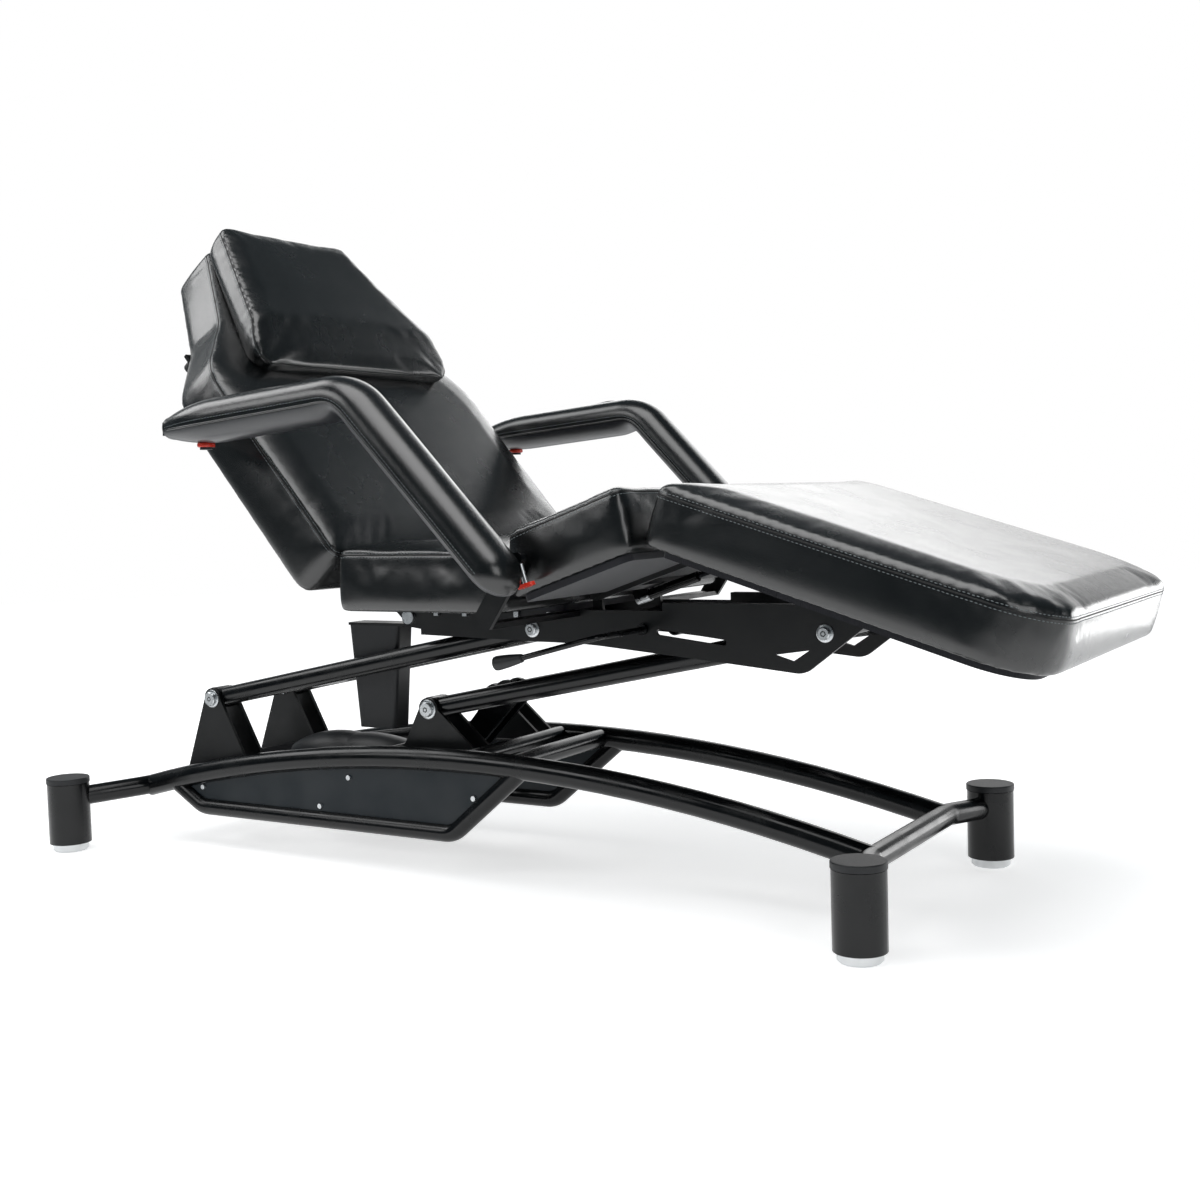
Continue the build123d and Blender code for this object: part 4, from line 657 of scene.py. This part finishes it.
class ChairOperator:
    """What the operators share: they add to the open scene, can be undone and name what is missing."""
    bl_options = {"REGISTER", "UNDO"}

    def need(self, *names):
        """Raise an error when the frame has no part of that name or the finishes aren't made."""
        missing = [name for name in names if name not in frame["nodes"]]
        if missing or not MATERIALS:
            raise RuntimeError(f"{self.bl_label}: missing {missing or 'the finishes'}")


class CHAIR_OT_cushions(ChairOperator, bpy.types.Operator):
    """Build the sewn covers of the seat, back, thigh, leg and headrest sections"""
    bl_idname = "tattoo_chair.cushions"
    bl_label = "Cushions"

    def execute(self, context):
        sizes = context.scene.chair_sizes
        self.need(*[row[2] for row in SEWN])
        for key, body, cad_node, cap, rows in SEWN:
            cover = upholster(FORMS[key], body, cad_node, sizes, cap)
            sew(FORMS[key], cover, body, sizes, rows)
        return {"FINISHED"}


# The armrests' pads: how far out they stand, half their width, the dome over the seam, the belly
# under it with what it gains behind the bend, the bend's radius, and the middle line as (x, z)
ARM_Y, ARM_HALF, ARM_DOME, ARM_BELLY, REAR_BELLY, ARM_BEND = 434.0, 44.0, 36.0, 22.0, 12, 66.0
ARM_LINE = np.array([(-308.0, 763.0), (57.0, 791.0), (304.0, 532.0)]) + np.array([MID_X, 0])
# The free end narrows by this share over this run, and its nose is this share of a half-width long
TAPER, TAPER_RUN, NOSE = 0.45, 105, 0.45
# The folds inside the bend: one from the next, and how far they spread to each side
FOLD_PITCH, FOLD_SPREAD = 10, 26
# Angles of the welt and the stitches, from the seam's level, and the section's share that is leather
WELT_AT, THREAD_AT, LEATHER_SHARE = -0.14, 0.02, 0.53
# A pull's ring at its level in metres, as (radius in mm, height in m)
RING_LEVEL = 0.7305
PULL_RING = [(0.0, -0.0006), (12.6, -0.0006), (13.8, 0.0008), (14.2, 0.003), (13.8, 0.0054),
             (12.6, 0.0068), (0.0, 0.0068)]


def arm_path(count=90):
    """The armrest's middle line: two straight runs joined by a tangent arc, evenly sampled, with
    its tangents, the distances along it and where the bend's middle is; in millimetres."""
    tip, bend, foot = ARM_LINE
    into, out = unit(np.array([bend - tip, foot - bend]))
    turn = np.arctan2(into[0] * out[1] - into[1] * out[0], into @ out)
    reach = ARM_BEND * abs(tan(turn / 2))
    angle = abs(turn) * np.linspace(0, 1, 40)[:, None]
    left = np.array([-into[1], into[0]]) * np.sign(turn)
    arc = bend - into * reach + ARM_BEND * (np.sin(angle) * into + (1 - np.cos(angle)) * left)
    line = np.concatenate([tip[None], arc, foot[None]])
    length = distances(line)
    at = np.linspace(0, length[-1], count)
    spots = sampled(line, at)
    return spots, unit(np.gradient(spots, axis=0)), at, length[1] + 0.5 * (length[-2] - length[1])


def arm_surface(turns, ends=True):
    """Points of the pad at each angle of its section, for every step of the path.

    The section is an oval, squared a little, with a dome above its seam and a flatter belly below
    it that is deeper behind the bend. Towards the free end it narrows as a parabola does; past
    each end of the path it shrinks as the cosine while it moves on as the sine, so the ends are
    round. Inside the bend the belly is gathered into folds and pinched in by up to 5 mm."""
    spots, ahead, at, bend_at = arm_path()
    step = np.linspace(0, pi / 2, 12)[1:]
    scale = 1 - TAPER * (1 - np.clip(at / TAPER_RUN, 0, 1)) ** 2
    if ends:
        lead = spots[0] - ahead[0] * NOSE * ARM_HALF * np.sin(step[::-1])[:, None]
        tail = spots[-1] + ahead[-1] * ARM_HALF * np.sin(step)[:, None]
        spots = np.concatenate([lead, spots, tail])
        ahead = np.concatenate([np.repeat(ahead[:1], len(step), 0), ahead,
                                np.repeat(ahead[-1:], len(step), 0)])
        scale = np.concatenate([scale[0] * np.cos(step[::-1]), scale, np.cos(step)])
        scale = np.maximum(scale, 0.02)
        at = np.concatenate([at[0] - ARM_HALF * np.sin(step[::-1]), at,
                             at[-1] + ARM_HALF * np.sin(step)])
    up = np.stack([-ahead[:, 1], ahead[:, 0]], 1)
    up *= np.sign(up[:, 1])[:, None]
    across = ARM_HALF * np.sign(np.cos(turns)) * np.abs(np.cos(turns)) ** 0.9
    belly = ARM_BELLY + REAR_BELLY * np.clip((bend_at + 20 - at) / 60, 0, 1)[:, None]
    height = np.where(np.sin(turns) > 0, ARM_DOME, belly)
    rise = height * np.sign(np.sin(turns)) * np.abs(np.sin(turns)) ** 0.86
    near_bend = np.exp(-((at - bend_at) / FOLD_SPREAD) ** 2)
    under = np.clip(-np.sin(turns), 0, 1) ** 0.6
    gather = near_bend * (3.0 + 2.2 * np.cos((at - bend_at) * 2 * pi / FOLD_PITCH))
    rise = rise * scale[:, None] + gather[:, None] * under[None, :]
    across = across[None, :] * scale[:, None]
    return np.stack([spots[:, :1] + rise * up[:, :1], across, spots[:, 1:] + rise * up[:, 1:]], -1)


def arm_trim(turn, offset):
    """A line along the pad at one angle of its section, in metres, with its outward normals: the
    cosine of the angle sideways and its sine upwards."""
    line = (arm_surface(np.array([turn]), ends=False)[:, 0] + offset) * MM
    ahead = arm_path()[1]
    up = np.stack([-ahead[:, 1], 0 * ahead[:, 0], ahead[:, 0]], 1)
    up *= np.sign(up[:, 2])[:, None]
    return line, unit(np.array([0, cos(turn), 0]) + sin(turn) * up)


class CHAIR_OT_armrests(ChairOperator, bpy.types.Operator):
    """Build the padded covers of both armrests with their welts, rings and pulls"""
    bl_idname = "tattoo_chair.armrests"
    bl_label = "Armrests"

    def execute(self, context):
        self.need("armrest_pad_near", "armrest_pad_far", "armrest_pull_near", "armrest_pull_far")
        for side, sign in (("near", -1), ("far", 1)):
            offset = np.array([0, sign * ARM_Y, 0])
            self.pad(side, offset)
            self.trims(side, offset, context.scene.chair_sizes)
            low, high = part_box(f"armrest_pull_{side}")
            middle = (low + high) / 2
            ring = lathe(f"armrest_pull_ring_{side}", PULL_RING, "red acetal",
                         (middle.x, middle.y, RING_LEVEL))
            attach(ring, f"armrest_pull_{side}")
        return {"FINISHED"}

    def pad(self, side, offset):
        """The leather round one pad, with the duller lining below its seam."""
        turns = np.linspace(0, 2 * pi, 56, endpoint=False)
        skin = grid_piece(f"armrest_cover_{side}", (arm_surface(turns) + offset) * MM, "armrest leather",
                          cap_ends=True)
        skin.data.materials.append(MATERIALS["armrest lining"])
        section = np.arange(len(skin.data.polygons)) % len(turns)
        lined = (section > len(turns) * LEATHER_SHARE).astype(np.int32)
        skin.data.polygons.foreach_set("material_index", lined)
        subdivided(outward(skin))
        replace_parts(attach(skin, f"armrest_{side}"), f"armrest_pad_{side}")

    def trims(self, side, offset, sizes):
        """A welt and a row of stitches along both sides of one pad."""
        body = f"armrest_{side}"
        welts, threads = [], []
        for mirror in (False, True):
            welt_at, thread_at = [pi - turn if mirror else turn for turn in (WELT_AT, THREAD_AT)]
            line, out = arm_trim(welt_at, offset)
            welts.append(tube("welt", line, out, 0.0034, 0.0026, "armrest leather", closed=False))
            line, out = arm_trim(thread_at, offset)
            path = even(line, sizes.stitch_pitch, closed=False)
            here, there = np.linspace(0, 1, len(path)), np.linspace(0, 1, len(out))
            normal = np.stack([np.interp(here, there, column) for column in out.T], 1)
            threads.append(stitches("row", path, normal, sizes.stitch_width, closed=False))
        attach(joined(f"armrest_welts_{side}", welts), body)
        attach(joined(f"armrest_stitching_{side}", threads), body)


# Turned trim: the lever's grip, the bolts' washers and the painted shade of their sockets

LEVER_Y, GRIP_FROM, GRIP_TO = -274.0, (242.0, 391.2), (191.5, 380.9)
# The pivot bolts by body as (x, z, radius), the plates' outer face and the height of a bolt's head
PIVOTS = {"base": ((-578.0, 273.0, 13.0), (-63.0, 277.0, 13.0)),
          "seat": ((159.0, 420.0, 9.75), (674.0, 424.0, 9.75))}
PLATE_FACE, BOLT_HEAD = 121.8, 8.7
# A washer as (mm past the bolt's radius, height in m), and a socket: a dark hexagon of painted shade, 0.9
# mm deep in the head
WASHER = ((-1, 0.0), (3.4, 0.0), (3.9, 0.0005), (3.9, 0.0013), (3.2, 0.0018), (-1, 0.0018))
SOCKET = ((0.0, 0.0), (4.9, 0.0), (4.9, 0.00095), (4.2, 0.00105), (0.0, 0.0006))
SOCKET_DEPTH = 0.9


def lathe(name, profile, material, foot, axis=(0, 0, 1), sides=40):
    """A profile of (radius in mm, height in m) turned about an axis through foot."""
    profile = np.array(profile, float)
    turn = np.linspace(0, 2 * pi, sides, endpoint=False)
    w = Vector(axis).normalized()
    u = w.orthogonal().normalized()
    v = w.cross(u)
    radial = np.cos(turn)[:, None] * np.array(u) + np.sin(turn)[:, None] * np.array(v)
    radius = np.maximum(profile[:, 0], 0.01)[:, None, None] * MM
    points = np.array(foot) + radius * radial[None] + profile[:, 1][:, None, None] * np.array(w)
    return outward(grid_piece(name, points, material, cap_ends=True))


class CHAIR_OT_lever(ChairOperator, bpy.types.Operator):
    """Build the release lever's moulded grip with its flat end cap"""
    bl_idname = "tattoo_chair.lever"
    bl_label = "Lever grip"

    def execute(self, context):
        self.need("release_lever")
        start, end = [np.array([MID_X + x, LEVER_Y, z]) * MM for x, z in (GRIP_FROM, GRIP_TO)]
        axis = end - start
        long = float(np.linalg.norm(axis))
        profile = [(0.0, 0.0), (5.2, 0.0), (6.6, 0.0012), (7.0, 0.004), (8.2, 0.012),
                   (10.2, long * 0.55), (11.4, long - 0.008), (11.4, long - 0.003),
                   (10.0, long - 0.0002), (8.4, long), (8.2, long - 0.0012), (0.0, long - 0.0012)]
        grip = lathe("lever_grip", profile, "moulded nylon", start, axis)
        fine = grip.modifiers.new("round", "BEVEL")
        fine.width, fine.segments, fine.limit_method = 0.0006, 2, "ANGLE"
        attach(grip, "release_lever")
        return {"FINISHED"}


class CHAIR_OT_fasteners(ChairOperator, bpy.types.Operator):
    """Build washers on the pivot bolts, and in each head a dark hexagon as painted socket shade"""
    bl_idname = "tattoo_chair.fasteners"
    bl_label = "Fasteners"

    def execute(self, context):
        self.need("base_pivot_bolts", "seat_pivot_bolts")
        for body, pivots in PIVOTS.items():
            washers, sockets = [], []
            for x, z, radius in pivots:
                profile = [(radius + past, height) for past, height in WASHER]
                for sign in (-1, 1):
                    foot = np.array([MID_X + x, sign * PLATE_FACE, z]) * MM
                    washers.append(lathe("washer", profile, "zinc plated steel", foot, (0, sign, 0)))
                    rim = foot + np.array([0, sign * (BOLT_HEAD - SOCKET_DEPTH) * MM, 0])
                    # The socket is a dark hexagon of painted shade, not a recess
                    sockets.append(lathe("socket", SOCKET, "socket shade", rim, (0, sign, 0), 6))
            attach(joined(f"{body}_bolt_washers", washers), body)
            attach(joined(f"{body}_bolt_sockets", sockets), body)
        return {"FINISHED"}


class CHAIR_OT_finishes(ChairOperator, bpy.types.Operator):
    """Give every carried-over part of the frame its finish"""
    bl_idname = "tattoo_chair.finishes"
    bl_label = "Frame finishes"

    def execute(self, context):
        self.need("foot_posts")
        slots = {row["node"]: row["material_slot"] for row in frame["record"]["subparts"]}
        for name, part in frame["nodes"].items():
            part.data.materials.clear()
            part.data.materials.append(MATERIALS[NODE_FINISH.get(name, SLOT_FINISH[slots[name]])])
            middle = vectors_of(part.data.polygons, "center") / MM
            if name.startswith("armrest_catch"):
                bare = middle[:, 2] > CATCH_LEVEL
            elif name == "knee_spring_tube":
                along = (middle[:, 0] - THIGH_HINGE[0]) * cos(radians(THIGH_TILT))
                along += (middle[:, 2] - THIGH_HINGE[1]) * sin(radians(THIGH_TILT))
                bare = along < FERRULE_END
            else:
                continue
            part.data.materials.append(MATERIALS["zinc plated steel"])
            part.data.polygons.foreach_set("material_index", bare.astype(np.int32))
        return {"FINISHED"}


# The stage

# Soft lamps as (name, place, what they face, size in metres, watts), low enough that pale grey and
# the leather's highlights stay under white
LAMPS = (("overhead_softbox", (0.4, -0.8, 3.2), (0, -0.2, 0.4), (2.8, 2.2), 66.0),
         ("head_softbox", (-2.4, -0.6, 2.7), (-0.2, 0, 0.6), (1.4, 2.2), 34.0),
         ("side_softbox", (-2.2, -2.9, 2.3), (-0.2, 0, 0.6), (2.0, 1.1), 26.0),
         ("foot_softbox", (3.0, -1.6, 1.6), (0.4, 0, 0.5), (1.4, 1.8), 20.0),
         ("end_softbox", (1.9, 2.1, 0.4), (0.85, 0, 0.45), (1.6, 0.9), 18.0),
         ("back_softbox", (-0.9, 3.0, 1.9), (0, 0, 0.6), (3.2, 1.2), 19.0))
# The camera, solved from the feet and pivots: place in mm, then yaw, pitch and roll in degrees
CAMERA_AT, YAW, PITCH, ROLL = (1545.3, -2176.9, 631.5), 31.40, -3.61, -1.69
# Its sensor in mm, and the frame, focal length and optical centre in pixels
SENSOR, FRAME, FOCAL, CENTRE = 36.0, 1200, 1516.6, (600.2, 593.5)
# The part of the surroundings that gloss shows as a white backdrop: behind the chair, and low
BACKDROP_WAY = (-0.35, 0.85, -0.4)


def paper_material():
    """Seamless paper, matt and nearly white. It glows to the camera, more the further from the
    chair, until it is as white as the background, and glows in gloss only near the chair."""
    material, tree, shader, place = finish_of("seamless_paper", (0.88, 0.88, 0.88, 1), 0.9)
    shader.inputs["Specular IOR Level"].default_value = 0.1
    shader.inputs["Emission Color"].default_value = (1, 1, 1, 1)
    rays = tree.nodes.new("ShaderNodeLightPath")
    far = node(tree, "ShaderNodeVectorMath", [("Vector", place)], operation="LENGTH").outputs["Value"]
    parts = []
    for ray, near_glow, far_glow, at in (("Is Camera Ray", 0.62, 1.0, (1.4, 3.6)),
                                         ("Is Glossy Ray", 0.6, 0.0, (1.5, 2.8))):
        level = ramp(tree, far, near_glow, far_glow, at)
        parts.append(node(tree, "ShaderNodeMath", [(0, rays.outputs[ray]), (1, level)],
                          operation="MULTIPLY"))
    glow = node(tree, "ShaderNodeMath", [(0, parts[0].outputs[0]), (1, parts[1].outputs[0])],
                operation="ADD")
    tree.links.new(shader.inputs["Emission Strength"], glow.outputs[0])
    return material


def surround(scene):
    """A dim bluish world, white to the camera, through clear things and, behind the chair, in gloss."""
    world = scene.world or bpy.data.worlds.new("surround")
    scene.world = world
    world.use_nodes = True
    tree = world.node_tree
    tree.nodes.clear()
    rays = tree.nodes.new("ShaderNodeLightPath")
    place = tree.nodes.new("ShaderNodeTexCoord").outputs["Generated"]
    way = node(tree, "ShaderNodeVectorMath", [(0, place)], operation="DOT_PRODUCT")
    way.inputs[1].default_value = BACKDROP_WAY
    behind = ramp(tree, way.outputs["Value"], 0.0, 1.0, (0.45, 0.8))
    shown = node(tree, "ShaderNodeMath", [(0, rays.outputs["Is Glossy Ray"]), (1, behind)],
                 operation="MULTIPLY")
    seen = node(tree, "ShaderNodeMath", [(0, rays.outputs["Is Camera Ray"]),
                                         (1, rays.outputs["Is Transmission Ray"])], operation="MAXIMUM")
    seen = node(tree, "ShaderNodeMath", [(0, seen.outputs[0]), (1, shown.outputs[0])],
                operation="MAXIMUM")
    plain = node(tree, "ShaderNodeBackground", Color=(0.72, 0.9, 1, 1), Strength=0.1)
    white = node(tree, "ShaderNodeBackground", Color=(1, 1, 1, 1), Strength=1.0)
    mix = node(tree, "ShaderNodeMixShader", [("Fac", seen.outputs[0])])
    tree.links.new(mix.inputs[1], plain.outputs[0])
    tree.links.new(mix.inputs[2], white.outputs[0])
    out = tree.nodes.new("ShaderNodeOutputWorld")
    tree.links.new(out.inputs["Surface"], mix.outputs[0])


def photo_camera(scene):
    """The camera that sees the chair as the photograph does."""
    camera = bpy.data.cameras.new("camera")
    camera.sensor_width, camera.lens = SENSOR, FOCAL * SENSOR / FRAME
    camera.shift_x, camera.shift_y = (FRAME / 2 - CENTRE[0]) / FRAME, (CENTRE[1] - FRAME / 2) / FRAME
    holder = bpy.data.objects.new("camera", camera)
    scene.collection.objects.link(holder)
    yaw, pitch, roll = radians(YAW), radians(PITCH), radians(ROLL)
    ahead = Vector((-sin(yaw) * cos(pitch), cos(yaw) * cos(pitch), sin(pitch)))
    right = Vector((cos(yaw), sin(yaw), 0))
    up = right.cross(ahead)
    right, up = cos(roll) * right + sin(roll) * up, -sin(roll) * right + cos(roll) * up
    turn = Matrix((right, up, -ahead)).transposed().to_4x4()
    x, y, z = CAMERA_AT
    holder.matrix_world = Matrix.Translation(Vector((x + MID_X, y, z)) * MM) @ turn
    scene.camera = holder


class CHAIR_OT_stage(ChairOperator, bpy.types.Operator):
    """Set up the pale floor, the soft lamps, the white surround and the camera"""
    bl_idname = "tattoo_chair.stage"
    bl_label = "Stage"

    def execute(self, context):
        scene = context.scene
        if scene.camera is not None:
            raise RuntimeError("Stage: the scene already has a camera")
        scene.view_settings.view_transform = "Standard"
        ring = np.linspace(0, 2 * pi, 96, endpoint=False)
        disc = np.stack([9 * np.cos(ring), 9 * np.sin(ring), 0 * ring], -1)
        floor = mesh_piece("floor", disc, [list(range(len(ring)))], None, smooth=False)
        floor.data.materials.append(paper_material())
        surround(scene)
        for name, spot, aim, size, power in LAMPS:
            lamp = bpy.data.lights.new(name, "AREA")
            lamp.shape, lamp.size, lamp.size_y, lamp.energy = "RECTANGLE", *size, power
            holder = bpy.data.objects.new(name, lamp)
            scene.collection.objects.link(holder)
            holder.location = spot
            holder.rotation_euler = (Vector(aim) - Vector(spot)).to_track_quat("-Z", "Y").to_euler()
        photo_camera(scene)
        return {"FINISHED"}


OPERATORS = (CHAIR_OT_finishes, CHAIR_OT_cushions, CHAIR_OT_armrests, CHAIR_OT_lever,
             CHAIR_OT_fasteners, CHAIR_OT_stage)


class CHAIR_PT_panel(bpy.types.Panel):
    """The chair's pieces, sizes and colours in the sidebar"""
    bl_label = "Tattoo chair"
    bl_space_type = "VIEW_3D"
    bl_region_type = "UI"
    bl_category = "Tattoo chair"

    def draw(self, context):
        for operator in OPERATORS:
            self.layout.operator(operator.bl_idname)
        for group in (context.scene.chair_sizes, context.scene.chair_colours):
            box = self.layout.box()
            for name in group.__annotations__:
                box.prop(group, name)


CLASSES = (ChairSizes, ChairColours, *OPERATORS, CHAIR_PT_panel)


def register():
    for cls in CLASSES:
        bpy.utils.register_class(cls)
    bpy.types.Scene.chair_sizes = bpy.props.PointerProperty(type=ChairSizes)
    bpy.types.Scene.chair_colours = bpy.props.PointerProperty(type=ChairColours)


def unregister():
    del bpy.types.Scene.chair_sizes, bpy.types.Scene.chair_colours
    for cls in reversed(CLASSES):
        bpy.utils.unregister_class(cls)


def main():
    register()
    make_materials(bpy.context.scene.chair_colours)
    bpy.ops.tattoo_chair.finishes()
    bpy.ops.tattoo_chair.cushions()
    bpy.ops.tattoo_chair.armrests()
    bpy.ops.tattoo_chair.lever()
    bpy.ops.tattoo_chair.fasteners()
    bpy.ops.tattoo_chair.stage()


if __name__ == "__main__":
    main()
